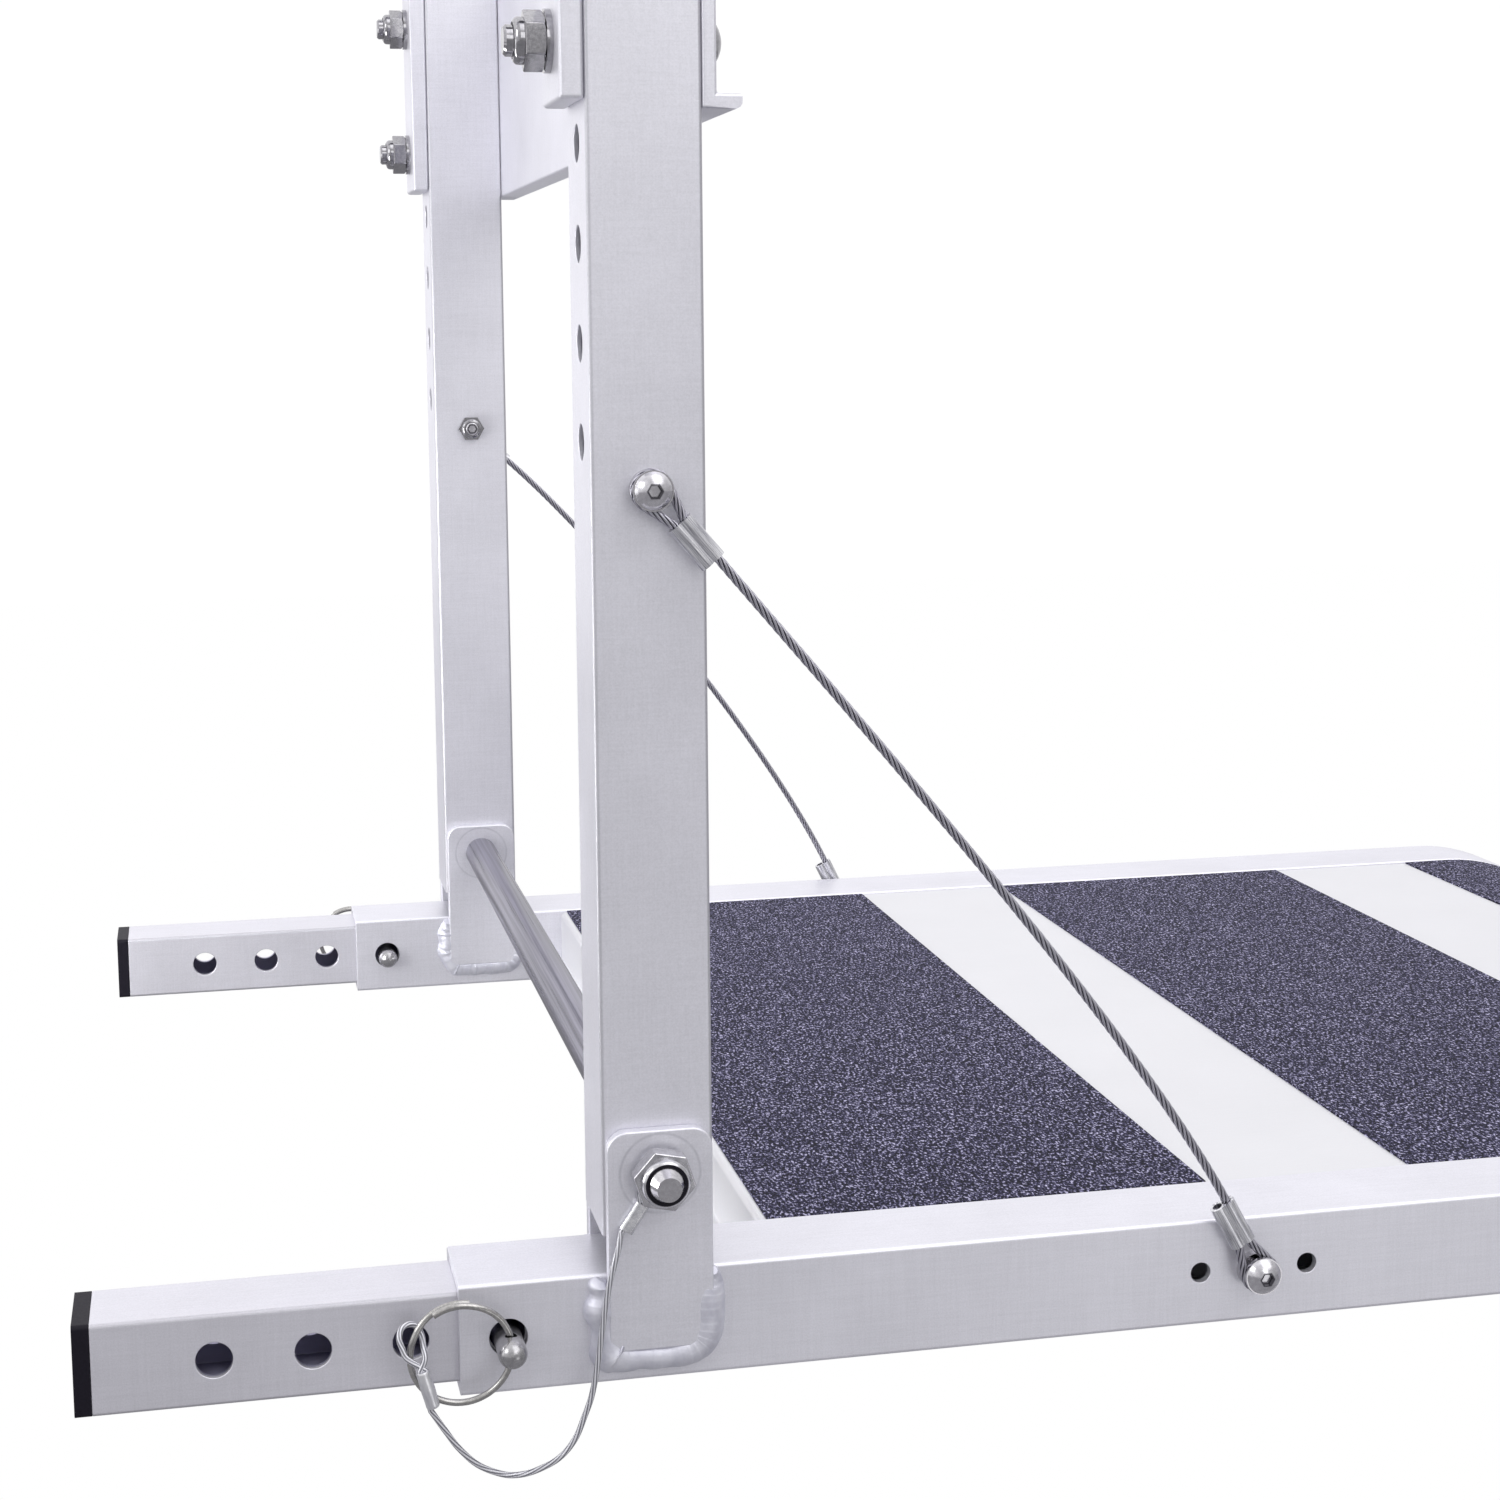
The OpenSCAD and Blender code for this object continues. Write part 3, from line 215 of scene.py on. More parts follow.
def eyeLoop(centre, angle, r, start, gap, side, steps=14):  # from one strand at the ferrule round to the other
    reach = math.hypot(start, gap)
    tangent = math.degrees(math.atan2(gap, start) + math.acos(r / reach))
    made = [eyePlace(centre, angle, start, side * gap)]
    for i in range(steps + 1):
        a = math.radians(tangent + (360 - 2 * tangent) * i / steps)
        made.append(eyePlace(centre, angle, r * math.cos(a), side * r * math.sin(a)))
    made.append(eyePlace(centre, angle, start, -side * gap))
    return made


lowAxis = (Vector(lanyard["lowEnd"]) - Vector(lanyard["lowTop"])).normalized()
lowAcross = -lowAxis.cross(Vector((0, 1, 0))).normalized()
upperEyeCentre = (0, drawing["outerY"] + lanyard["eyeY"], drawing["hingeZ"])
topAxis = polar(lanyard["angle"])
cordTop = eyePlace(upperEyeCentre, lanyard["angle"], lanyard["ferruleEnd"], -lanyard["strandGap"])
cordFoot = offRail(lanyard["lowEnd"]) + lanyard["strandGap"] * lowAcross
middlePoints = [offRail(p) for p in lanyard["route"]]
wholeRoute = smoothRoute([cordFoot + lanyard["lead"] * lowAxis, *middlePoints, cordTop + lanyard["lead"] * topAxis],
                         lanyard["smoothing"])
meeting = lanyard["smoothing"] * (lanyard["splitAt"] + 1)
footRoute = [cordFoot - lanyard["seat"] * lowAxis] + wholeRoute[:meeting + 1]
topRoute = wholeRoute[meeting:] + [cordTop - lanyard["seat"] * topAxis]
footRow = [toRow(p, rightSide) for p in reversed(footRoute)]
topRow = [toRow(p, rightSide) for p in reversed(topRoute)]


def layUv(mesh, length, lay):  # U counts lay lengths along the rope
    for corner in mesh.uv_layers[0].data:
        corner.uv = (corner.uv[0] * length / lay, corner.uv[1])


def cordPiece(name, route):
    mesh = meshTubes(name, [route], lanyard["diameter"] / 2000)
    layUv(mesh, routeLength(route), lanyard["lay"] / 1000)
    return putInScene(name, mesh)


upperCord = cordPiece("lanyardUpperRun", topRow)
lowerCord = cordPiece("lanyardLowerRun", footRow)
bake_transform(upperCord)
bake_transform(lowerCord)
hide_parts("lanyard_cord")
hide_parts("lanyard_cord")
print("lanyard laid:", round(routeLength(topRow), 4), round(routeLength(footRow), 4))

# Its two eyes, both strands of each run into the ferrule
upperSeat = lanyard["ferruleStart"] + lanyard["seat"]
upperEyeRoute = [eyePlace(upperEyeCentre, lanyard["angle"], upperSeat, lanyard["strandGap"]),
                 *eyeLoop(upperEyeCentre, lanyard["angle"], lanyard["eyeR"], lanyard["ferruleStart"],
                          lanyard["strandGap"], 1),
                 eyePlace(upperEyeCentre, lanyard["angle"], upperSeat, -lanyard["strandGap"])]
upperEyeRow = evenRoute([toRow(p, rightSide) for p in upperEyeRoute], lanyard["eyeStep"] / 1000)
upperEye = cordPiece("lanyardUpperEye", upperEyeRow)
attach(upperEye, "platform")
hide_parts("lanyard_upper_eye")

lowMouth = offRail(lanyard["lowTop"])
legs = [lowMouth + k * lanyard["strandGap"] * lowAcross for k in (1, -1)]
lowerEyeRoute = [legs[0] + lanyard["seat"] * lowAxis,
                 *smoothRoute([legs[0], *map(offRail, lanyard["eye"]), legs[1]], lanyard["smoothing"]),
                 legs[1] + lanyard["seat"] * lowAxis]
lowerEye = cordPiece("lanyardLowerEye", [toRow(p, rightSide) for p in lowerEyeRoute])
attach(lowerEye, "right_ring")
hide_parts("lanyard_lower_eye")


# Support cables, strands laid round a core, in millimetres and degrees
cable = {
    "diameter": 3.2,
    "strands": 6,
    "lay": 21,
    "step": 1.2,
    "spanSteps": 60,
    "topZ": 298,
    "lowX": 213,
    "outY": 5,
    "loopR": 5.6,
    "ferruleStart": 13.7,
    "ferruleL": 16.7,
    "strandGap": 1.85,
    "handle": 0.26,
    "recess": 1.5,
    "tilts": {rightSide: (2.9, 8.2), leftSide: (10.8, 11.3)},
}
chordAngle = math.degrees(math.atan2(cable["topZ"] - drawing["railS"] / 2, -cable["lowX"]))


def cableRoute(side):
    tilts = cable["tilts"][side]
    up, low = chordAngle - 180 + tilts[0], chordAngle - tilts[1]
    top = (0, drawing["outerY"] + cable["outY"], cable["topZ"])
    foot = (cable["lowX"], drawing["outerY"] + cable["outY"], drawing["railS"] / 2)
    end = cable["ferruleStart"] + cable["ferruleL"]
    gap = cable["strandGap"]
    a = eyePlace(top, up, end, gap)
    d = eyePlace(foot, low, end, -gap)
    handle = cable["handle"] * (d - a).length
    b = a + handle * polar(up)
    c = d + handle * polar(low)
    span = []
    for i in range(cable["spanSteps"] + 1):
        t = i / cable["spanSteps"]
        span.append((1 - t) ** 3 * a + 3 * t * (1 - t) ** 2 * b + 3 * t * t * (1 - t) * c + t ** 3 * d)
    route = ([eyePlace(top, up, end - cable["recess"], -gap)]
             + eyeLoop(top, up, cable["loopR"], cable["ferruleStart"], gap, -1) + span
             + eyeLoop(foot, low, cable["loopR"], cable["ferruleStart"], gap, -1)
             + [eyePlace(foot, low, end - cable["recess"], gap)])
    return [toRow(p, side) for p in route], toRow(a, side), toRow(d, side)


def markCrowns(mesh, route, ropeRadius):  # each point's distance from the rope's middle, as a share of its radius
    tree = KDTree(len(route))
    for i, p in enumerate(route):
        tree.insert(p, i)
    tree.balance()
    crown = mesh.attributes.new("crown", "FLOAT", "POINT")
    for vert, mark in zip(mesh.vertices, crown.data):
        p, i, reach = tree.find(vert.co)
        ahead = (route[min(i + 1, len(route) - 1)] - route[max(i - 1, 0)]).normalized()
        off = vert.co - p
        mark.value = (off - off.dot(ahead) * ahead).length / ropeRadius


for side, name in ((rightSide, "right"), (leftSide, "left")):
    route, spanTop, spanFoot = cableRoute(side)
    route = evenRoute(route, cable["step"] / 1000)
    radius = cable["diameter"] / 2000
    lines, strandRadius = laidStrands(route, cable["strands"], radius, cable["lay"] / 1000)
    mesh = meshTubes(name + "CableStrands", lines + [route], strandRadius, rounds=2)
    layUv(mesh, routeLength(route), 1)
    markCrowns(mesh, route, radius)
    rope = putInScene(name + "SupportRope", mesh)
    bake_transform(rope)
    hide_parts(name + "_support_cable")
    print(name, "support rope laid:", len(mesh.polygons), "faces")


# Pull rings, one and an eighth turns of round wire, in millimetres and degrees
ring = {
    "pinX": 50.8,
    "pinZ": 17.95,
    "outY": 7,
    "hang": 0.35,
    "r": 16.7,
    "wire": 2.2,
    "start": 122,
    "turn": 402,
    "steps": 130,
    "lapGap": 0.25,
    "firstCrank": (30, 80),
    "lastCrank": (-200, -238),
}


def cranked(a, span):  # 0 to 1 as the wire steps over to its next lap
    u = min(max((a - span[0]) / (span[1] - span[0]), 0), 1)
    return u * u * (3 - 2 * u)


for side, name, body in ((rightSide, "right", "right_ring"), (leftSide, "left", "left_ring")):
    route = []
    for i in range(ring["steps"] + 1):
        a = ring["start"] - ring["turn"] * i / ring["steps"]
        crank = (ring["wire"] + ring["lapGap"]) / 2 * (cranked(a, ring["firstCrank"]) - cranked(a, ring["lastCrank"]))
        route.append(toRow((-ring["pinX"] - ring["r"] + ring["hang"] + ring["r"] * math.cos(math.radians(a)),
                            drawing["outerY"] + ring["outY"] + crank,
                            ring["pinZ"] + ring["r"] * math.sin(math.radians(a))), side))
    wire = putInScene(name + "PullRing", meshTubes(name + "PullRing", [route], ring["wire"] / 2000, rounds=5))
    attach(wire, body)
    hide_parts(name + "_pull_ring")
print("pull rings bent")


# CAD parts whose cut edges are broken, as copies of their meshes, in metres
softEdges = {  # body, width, shortest edge that is broken, material slot
    "right_hinge_ears": ("platform", 0.0007, 0, "anodised_aluminium"),
    "left_hinge_ears": ("platform", 0.0007, 0, "anodised_aluminium"),
    "right_arm": ("platform", 0.0004, 0, "anodised_aluminium"),
    "left_arm": ("platform", 0.0004, 0, "anodised_aluminium"),
    "right_upright": ("upright_frame", 0.0004, 0, "anodised_aluminium"),
    "left_upright": ("upright_frame", 0.0004, 0, "anodised_aluminium"),
    "cross_angle": ("upright_frame", 0.001, 0.004, "anodised_aluminium"),
    "right_hanger_bar": ("upright_frame", 0.0014, 0.004, "anodised_aluminium"),
    "left_hanger_bar": ("upright_frame", 0.0014, 0.004, "anodised_aluminium"),
    "right_rail": ("platform", 0.0003, 0, "anodised_aluminium"),
    "left_rail": ("platform", 0.0003, 0, "anodised_aluminium"),
    "deck_sheet": ("platform", 0.0003, 0, "anodised_aluminium"),
    "hanger_nuts": ("upright_frame", 0.00045, 0.0015, "stainless_steel"),
    "hinge_nuts": ("platform", 0.00045, 0.0015, "stainless_steel"),
}
breaking = {  # metres, and angles in degrees
    "merge": 1e-6,
    "flat": 0.4,
    "sharp": 28,
    "shadedSharp": 34,
    "segments": 3,
}


def camelName(node):
    words = node.split("_")
    return words[0] + "".join(word.capitalize() for word in words[1:])


def softCopy(node, body, width, shortest, slot):
    mesh = nodes[node].data.copy()
    mesh.name = camelName(node)
    shape = bmesh.new()
    shape.from_mesh(mesh)
    bmesh.ops.remove_doubles(shape, verts=shape.verts, dist=breaking["merge"])
    bmesh.ops.dissolve_limit(shape, angle_limit=math.radians(breaking["flat"]), use_dissolve_boundaries=False,
                             verts=shape.verts, edges=shape.edges)
    least = math.radians(breaking["sharp"])
    sharp = [e for e in shape.edges if len(e.link_faces) == 2 and e.calc_face_angle() > least
             and e.calc_length() > shortest]
    bmesh.ops.bevel(shape, geom=sharp, offset=width, offset_type="OFFSET", affect="EDGES",
                    segments=breaking["segments"], profile=0.5, material=-1, clamp_overlap=False)
    for face in shape.faces:
        face.smooth = True
    shape.to_mesh(mesh)
    shape.free()
    mesh.set_sharp_from_angle(angle=math.radians(breaking["shadedSharp"]))
    made = putInScene(camelName(node), mesh)
    even = made.modifiers.new("evenShading", "WEIGHTED_NORMAL")
    even.keep_sharp = True
    return standFor(made, node, body)


softened = {node: softCopy(node, *how) for node, how in softEdges.items()}
print("edges broken on", len(softened), "parts")


# Weld beads round the feet of the hinge ears, in millimetres
bead = {  # the near one's stations are X, Z, half width and lift off the rail
    "nearOuter": [(-19.4, 36.4, 1.6, 0.6), (-20.2, 34.6, 3.9, 0.2), (-20.2, 31.6, 3.5, 0.2), (-20.2, 28.4, 5.3, 0),
                  (-20.2, 24.6, 5.6, 0), (-19.4, 20.6, 4.2, 0.4), (-18.6, 17.2, 5, -0.2), (-17, 11.8, 7.8, -1.7),
                  (-14, 9.9, 7.5, -1.8), (-10.6, 8.9, 5.7, -0.4), (-6.8, 8.9, 4.7, 0.3), (-2.4, 8.5, 5.0, 0.2),
                  (2.2, 8.5, 4.7, 0.4), (6.4, 8.9, 5.4, 0.1), (10.2, 10.0, 6.2, -0.9), (13.2, 12.2, 6.9, -1.7),
                  (15, 15.6, 7.1, -1.9), (15.7, 20, 7, -1.8), (15.9, 25, 6.9, -1.6), (16.3, 30, 6.3, -1.2),
                  (17, 33.4, 5.1, -0.3), (17.7, 35.6, 3.2, 1.1), (18, 37, 1.4, 2.8)],
    "outBy": 0.6,
    "downBy": 1.6,
    "corner": 1.6,
    "r": 5.5,
    "unevenR": 0.6,
    "standOff": 4.7,
    "endShares": {0: 0.3, 1: 0.75},
    "lumps": {"nearInner": 0.9, "farOuter": 1.3, "farInner": 1.7},
    "ripples": {"near": 0.012, "far": 0.045},
    "rippleEvery": 2.7,
    "rippleLean": 1.7,
    "smoothing": 12,
}


def beadPlain(lumps):  # the usual run round an ear's foot, thicker and thinner as the hand moved
    outX, lowZ, corner = drawing["earW"] / 2 + bead["outBy"], drawing["earFootZ"] - bead["downBy"], bead["corner"]
    places = [(-outX, 35.8), (-outX, 33.4), (-outX, 29), (-outX, 24), (-outX, 19), (-outX + corner, 14),
              (-13.6, lowZ + 0.7), (-9, lowZ), (-4.4, lowZ), (0, lowZ), (4.4, lowZ), (9, lowZ), (13.6, lowZ + 0.7),
              (outX - corner, 14), (outX, 19), (outX, 24), (outX, 29), (outX, 33.4), (outX, 35.8)]
    made = []
    for i, (x, z) in enumerate(places):
        end = bead["endShares"].get(min(i, len(places) - 1 - i), 1)
        r = end * (bead["r"] + bead["unevenR"] * math.sin(lumps * 1.9 * i + lumps))
        made.append((x, z, r, bead["standOff"] - r))
    return made


def beadLine(stations, faceY, out, side, ripple):  # its line and how thick it is along it
    centre = smoothRoute([(x, z, 0) for x, z, r, lift in stations], bead["smoothing"])
    girth = smoothRoute([(r, lift, 0) for x, z, r, lift in stations], bead["smoothing"])
    both = [Vector((*c.to_2d(), g[0])) for c, g in zip(centre, girth)]
    lifts = [g[1] for g in girth]
    line, swell, run = [], [], 0.0
    for i, p in enumerate(both):
        if i:
            run += (p.to_2d() - both[i - 1].to_2d()).length
        phase = (run / bead["rippleEvery"]) % 1
        line.append(toRow((p[0], faceY + out * lifts[i], p[1]), side))
        swell.append(p[2] * (1 + ripple * (phase ** bead["rippleLean"] - 0.5)))
    return line, swell


outerFace, innerFace = drawing["outerY"], drawing["outerY"] - drawing["railS"]
beadRuns = {  # stations and ripple of the outer bead, stations of the inner one
    rightSide: (bead["nearOuter"], bead["ripples"]["near"], beadPlain(bead["lumps"]["nearInner"])),
    leftSide: (beadPlain(bead["lumps"]["farOuter"]), bead["ripples"]["far"], beadPlain(bead["lumps"]["farInner"])),
}
for side, name in ((rightSide, "right"), (leftSide, "left")):
    outerStations, outerRipple, innerStations = beadRuns[side]
    outerLine, outerSwell = beadLine(outerStations, outerFace, 1, side, outerRipple)
    innerLine, innerSwell = beadLine(innerStations, innerFace, -1, side, bead["ripples"]["far"])
    mesh = meshTubes(name + "EarWelds", [outerLine, innerLine], millimetre, rounds=5, swells=[outerSwell, innerSwell])
    standFor(putInScene(name + "EarWelds", mesh), name + "_ear_welds", "platform")
print("weld beads laid")


# Pressed sleeves, with UVs that run along each one, which lay their bands of painted highlight and shade
sleeves = {
    "upper_ferrules": ("upright_frame", "upper"),
    "lower_ferrules": ("platform", "lower"),
}


def sleeveAxis(end, side):
    tilts = cable["tilts"][side]
    if end == "upper":
        return Vector((0, 0, cable["topZ"])), polar(chordAngle - 180 + tilts[0])
    return Vector((cable["lowX"], 0, drawing["railS"] / 2)), polar(chordAngle - tilts[1])


for node, (body, end) in sleeves.items():
    mesh = nodes[node].data.copy()
    mesh.name = camelName(node)
    while mesh.uv_layers:
        mesh.uv_layers.remove(mesh.uv_layers[0])
    lengthwise = mesh.uv_layers.new(name="lengthwise")
    for corner, uv in zip(mesh.loops, lengthwise.data):
        p = mesh.vertices[corner.vertex_index].co
        side = rightSide if p.y < 0 else leftSide
        start, along = sleeveAxis(end, side)
        offset = p - toRow((start[0], 0, start[2]), side)
        across = offset.dot(along.cross(Vector((0, 1, 0))))
        depth = abs(p.y) - (drawing["outerY"] + cable["outY"]) / 1000
        half = 1 if across > 0 else -1
        # U counts centimetres along the sleeve, V runs round each of its two barrels
        uv.uv = (offset.dot(along) * 100, half * (2 + math.atan2(depth, across - half * cable["strandGap"] / 1000)))
    standFor(putInScene(camelName(node), mesh), node, body)


# Round sleeve on the lanyard's lower end, its rims rolled in
lowSleeve = {"r": 2.3, "rim": 0.35, "rolledIn": 0.8, "uneven": 0.06, "steps": 24}
sleeveTop, sleeveEnd = offRail(lanyard["lowTop"]), offRail(lanyard["lowEnd"])
sleeveRoute, sleeveSwell = [], []
for i in range(lowSleeve["steps"] + 1):
    t = i / lowSleeve["steps"]
    edge = min(t, 1 - t) * (sleeveEnd - sleeveTop).length / lowSleeve["rim"]
    sleeveRoute.append(toRow(sleeveTop.lerp(sleeveEnd, t), rightSide))
    sleeveSwell.append(lowSleeve["r"] - lowSleeve["rim"] * (1 - min(edge, 1)) ** 2 * lowSleeve["rolledIn"]
                       - lowSleeve["uneven"] * math.sin(3 * math.pi * t))
mesh = meshTubes("lanyardLowerSleeve", [sleeveRoute], millimetre, rounds=6, swells=[sleeveSwell])
standFor(putInScene("lanyardLowerSleeve", mesh), "lanyard_lower_ferrule", "right_ring")
print("sleeves marked")


# Materials, each built from nodes; a group gives only colours, masks, values or normals
def newGroup(name, inputs, outputs):
    group = bpy.data.node_groups.new(name, "ShaderNodeTree")
    for label, kind, value in inputs:
        socket = group.interface.new_socket(label, in_out="INPUT", socket_type=kind)
        socket.default_value = value
    for label, kind in outputs:
        group.interface.new_socket(label, in_out="OUTPUT", socket_type=kind)
    start = group.nodes.new("NodeGroupInput")
    end = group.nodes.new("NodeGroupOutput")
    return group, start, end


class Sheet:  # a node tree that is being filled
    def __init__(self, tree):
        self.tree = tree

    def node(self, kind, **settings):
        made = self.tree.nodes.new(kind)
        for key, value in settings.items():
            setattr(made, key, value)
        return made

    def feed(self, node, **values):  # constants, by the names of the inputs
        for key, value in values.items():
            node.inputs[key.replace("_", " ")].default_value = value
        return node

    def join(self, a, b):
        self.tree.links.new(a, b)

    def put(self, value, socket):  # another node's output, a colour or a number
        if hasattr(value, "links"):
            self.join(value, socket)
        else:
            socket.default_value = (*value, 1) if isinstance(value, tuple) else value

    def split(self, vector):
        made = self.node("ShaderNodeSeparateXYZ")
        self.join(vector, made.inputs[0])
        return made.outputs

    def maths(self, operation, *values):
        made = self.node("ShaderNodeMath", operation=operation)
        for socket, value in zip(made.inputs, values):
            self.put(value, socket)
        return made.outputs[0]

    def clamp(self, value):
        return self.maths("MINIMUM", self.maths("MAXIMUM", value, 0), 1)

    def ramp(self, value, stops):
        made = self.node("ShaderNodeValToRGB")
        marks = made.color_ramp.elements
        while len(marks) < len(stops):
            marks.new(0.5)
        for mark, (place, tone) in zip(marks, stops):
            mark.position = place
            mark.color = (*tone, 1)
        self.join(value, made.inputs["Fac"])
        return made.outputs["Color"]

    def mix(self, mask, a, b, blend="MIX"):
        made = self.node("ShaderNodeMix", data_type="RGBA", blend_type=blend)
        for socket, value in zip((made.inputs[0], made.inputs[6], made.inputs[7]), (mask, a, b)):
            self.put(value, socket)
        return made.outputs[2]

    def coords(self, kind="Object", scale=(1, 1, 1), move=(0, 0, 0)):
        source = self.node("ShaderNodeTexCoord")
        mapping = self.feed(self.node("ShaderNodeMapping"), Scale=scale, Location=move)
        self.join(source.outputs[kind], mapping.inputs["Vector"])
        return mapping.outputs[0]

    def noise(self, vector, scale, detail=3, rough=0.6):
        made = self.feed(self.node("ShaderNodeTexNoise"), Scale=scale, Detail=detail, Roughness=rough)
        self.join(vector, made.inputs["Vector"])
        return made.outputs["Fac"]

    def bump(self, height, strength, distance):
        made = self.feed(self.node("ShaderNodeBump"), Strength=strength, Distance=distance)
        self.join(height, made.inputs["Height"])
        return made.outputs["Normal"]


def newMaterial(name):
    material = bpy.data.materials.new(name)
    material.use_nodes = True
    sheet = Sheet(material.node_tree)
    shader = material.node_tree.nodes["Principled BSDF"]
    return material, sheet, shader


satin = {  # scales of the noises and what each adds
    "grit": 1700,
    "lines": 1100,
    "lineStretch": 0.05,
    "lineShare": 0.4,
    "middle": 0.9,
    "cloud": 22,
    "cloudShare": 0.6,
    "roughShare": 0.12,
    "depth": 0.00004,
}


def makeSatinGrain():  # fine tumbled grain, crossed by the faint lines of extruded tube
    group, start, end = newGroup("satinGrain", [
        ("Tone", "NodeSocketColor", (0.8, 0.8, 0.85, 1)),
        ("Mottle", "NodeSocketFloat", 0.04),
        ("Rough", "NodeSocketFloat", 0.4),
    ], [("Color", "NodeSocketColor"), ("Roughness", "NodeSocketFloat"), ("Height", "NodeSocketFloat")])
    s = Sheet(group)
    fine = s.noise(s.coords(), satin["grit"], rough=0.7)
    upward = s.noise(s.coords(scale=(1, 1, satin["lineStretch"])), satin["lines"])
    along = s.noise(s.coords(scale=(satin["lineStretch"], 1, 1)), satin["lines"])
    cloud = s.maths("SUBTRACT", s.noise(s.coords(), satin["cloud"], detail=4), 0.5)
    grit = s.maths("ADD", s.maths("ADD", fine, s.maths("MULTIPLY", upward, satin["lineShare"])),
                   s.maths("MULTIPLY", along, satin["lineShare"]))
    shift = s.maths("ADD", s.maths("SUBTRACT", grit, satin["middle"]),
                    s.maths("MULTIPLY", cloud, satin["cloudShare"]))
    lift = s.maths("MULTIPLY_ADD", shift, start.outputs["Mottle"], 1)
    shade = s.node("ShaderNodeVectorMath", operation="SCALE")
    s.join(start.outputs["Tone"], shade.inputs[0])
    s.join(lift, shade.inputs["Scale"])
    s.join(shade.outputs[0], end.inputs["Color"])
    s.join(s.maths("ADD", start.outputs["Rough"], s.maths("MULTIPLY", cloud, satin["roughShare"])),
           end.inputs["Roughness"])
    s.join(grit, end.inputs["Height"])
    return group


satinGrain = makeSatinGrain()
print("shared effects built")


def paintedTubeShade(s, tone, tube):  # a pair of square tubes, with painted shade within them where their holes look in, and painted shade on their rounded corners that dims the highlights there
    place = s.split(s.coords())
    offs = []
    for axis, middle in tube["middle"].items():
        here = s.maths("ABSOLUTE", place[axis]) if axis == 1 else place[axis]
        offs.append(s.maths("ABSOLUTE", s.maths("SUBTRACT", here, middle)))
    # painted shade within the tubes, seen through their holes
    shadedInside = s.maths("LESS_THAN", s.maths("MAXIMUM", *offs), tube["half"] - tube["wall"] / 2)
    # painted shade on the rounded corners, which dims their highlights
    past = s.maths("SUBTRACT", s.maths("MINIMUM", *offs), tube["half"] - tube["corner"])
    corner = s.clamp(s.maths("DIVIDE", past, tube["corner"] / 2))
    tone = s.mix(s.maths("MULTIPLY", corner, tube["cornerShadeShare"]), tone, (0, 0, 0))
    return s.mix(s.maths("MULTIPLY", shadedInside, tube["innerShadeShare"]), tone, tube["innerShadeTone"])


def rubbedTone(s, tone, rub):  # a ring that a nut has polished into the face
    place = s.split(s.coords(move=(-rub["place"][0], 0, -rub["place"][1])))
    reach = s.maths("SQRT", s.maths("ADD", s.maths("POWER", place[0], 2), s.maths("POWER", place[2], 2)))
    off = s.maths("ABSOLUTE", s.maths("SUBTRACT", reach, rub["r"]))
    line = s.maths("SUBTRACT", 1, s.maths("DIVIDE", off, rub["w"]))
    patches = s.noise(s.coords(), rub["patches"], rough=0.5)
    return s.mix(s.maths("MULTIPLY", s.maths("MAXIMUM", line, 0), patches), tone, rub["tone"])


def makeAluminium(name, look):
    material, s, shader = newMaterial(name)
    grain = s.node("ShaderNodeGroup", node_tree=satinGrain)
    s.feed(grain, Tone=(*look["tone"], 1), Mottle=look["mottle"], Rough=look["rough"])
    tone = grain.outputs["Color"]
    if "rubbed" in look:
        tone = rubbedTone(s, tone, look["rubbed"])
    if "tube" in look:
        tone = paintedTubeShade(s, tone, look["tube"])
    s.join(tone, shader.inputs["Base Color"])
    s.join(grain.outputs["Roughness"], shader.inputs["Roughness"])
    shader.inputs["Metallic"].default_value = look["metallic"]
    s.join(s.bump(grain.outputs["Height"], look["bump"], satin["depth"]), shader.inputs["Normal"])
    return material


# Places and widths on the tubes are in metres
tubeSatin = {"mottle": 0.28, "rough": 0.42, "metallic": 0.7, "bump": 0.5}
# shares of the painted shade on the tubes' rounded corners and within them
tubeSection = {"wall": 0.003, "corner": 0.0014, "cornerShadeShare": 0.3, "innerShadeShare": 0.85}
anodised = makeAluminium("anodisedAluminium", {**tubeSatin, "tone": (0.78, 0.775, 0.83)})
# the uprights and arms carry painted shade within their tubes and on their rounded corners
uprightAluminium = makeAluminium("uprightAluminium", {
    **tubeSatin,
    "tone": (0.78, 0.775, 0.83),
    "tube": {**tubeSection, "middle": {0: 0.086, 1: 0.26035}, "half": 0.01875, "innerShadeTone": (0.24, 0.235, 0.31)},
})
armAluminium = makeAluminium("armAluminium", {
    **tubeSatin,
    "tone": (0.725, 0.717, 0.77),
    "tube": {**tubeSection, "middle": {1: 0.26035, 2: -0.56595}, "half": 0.0155, "innerShadeTone": (0.3, 0.29, 0.43)},
})
earAluminium = makeAluminium("rubbedAluminium", {
    **tubeSatin,
    "tone": (0.77, 0.765, 0.82),
    "rubbed": {"place": (0.086, -0.5123), "r": 0.0135, "w": 0.0007, "patches": 260, "tone": (0.5, 0.5, 0.55)},
})
deckSatin = makeAluminium("deckSatin", {
    "tone": (0.74, 0.74, 0.762), "mottle": 0.1, "rough": 0.5, "metallic": 0.5, "bump": 0.3,
})


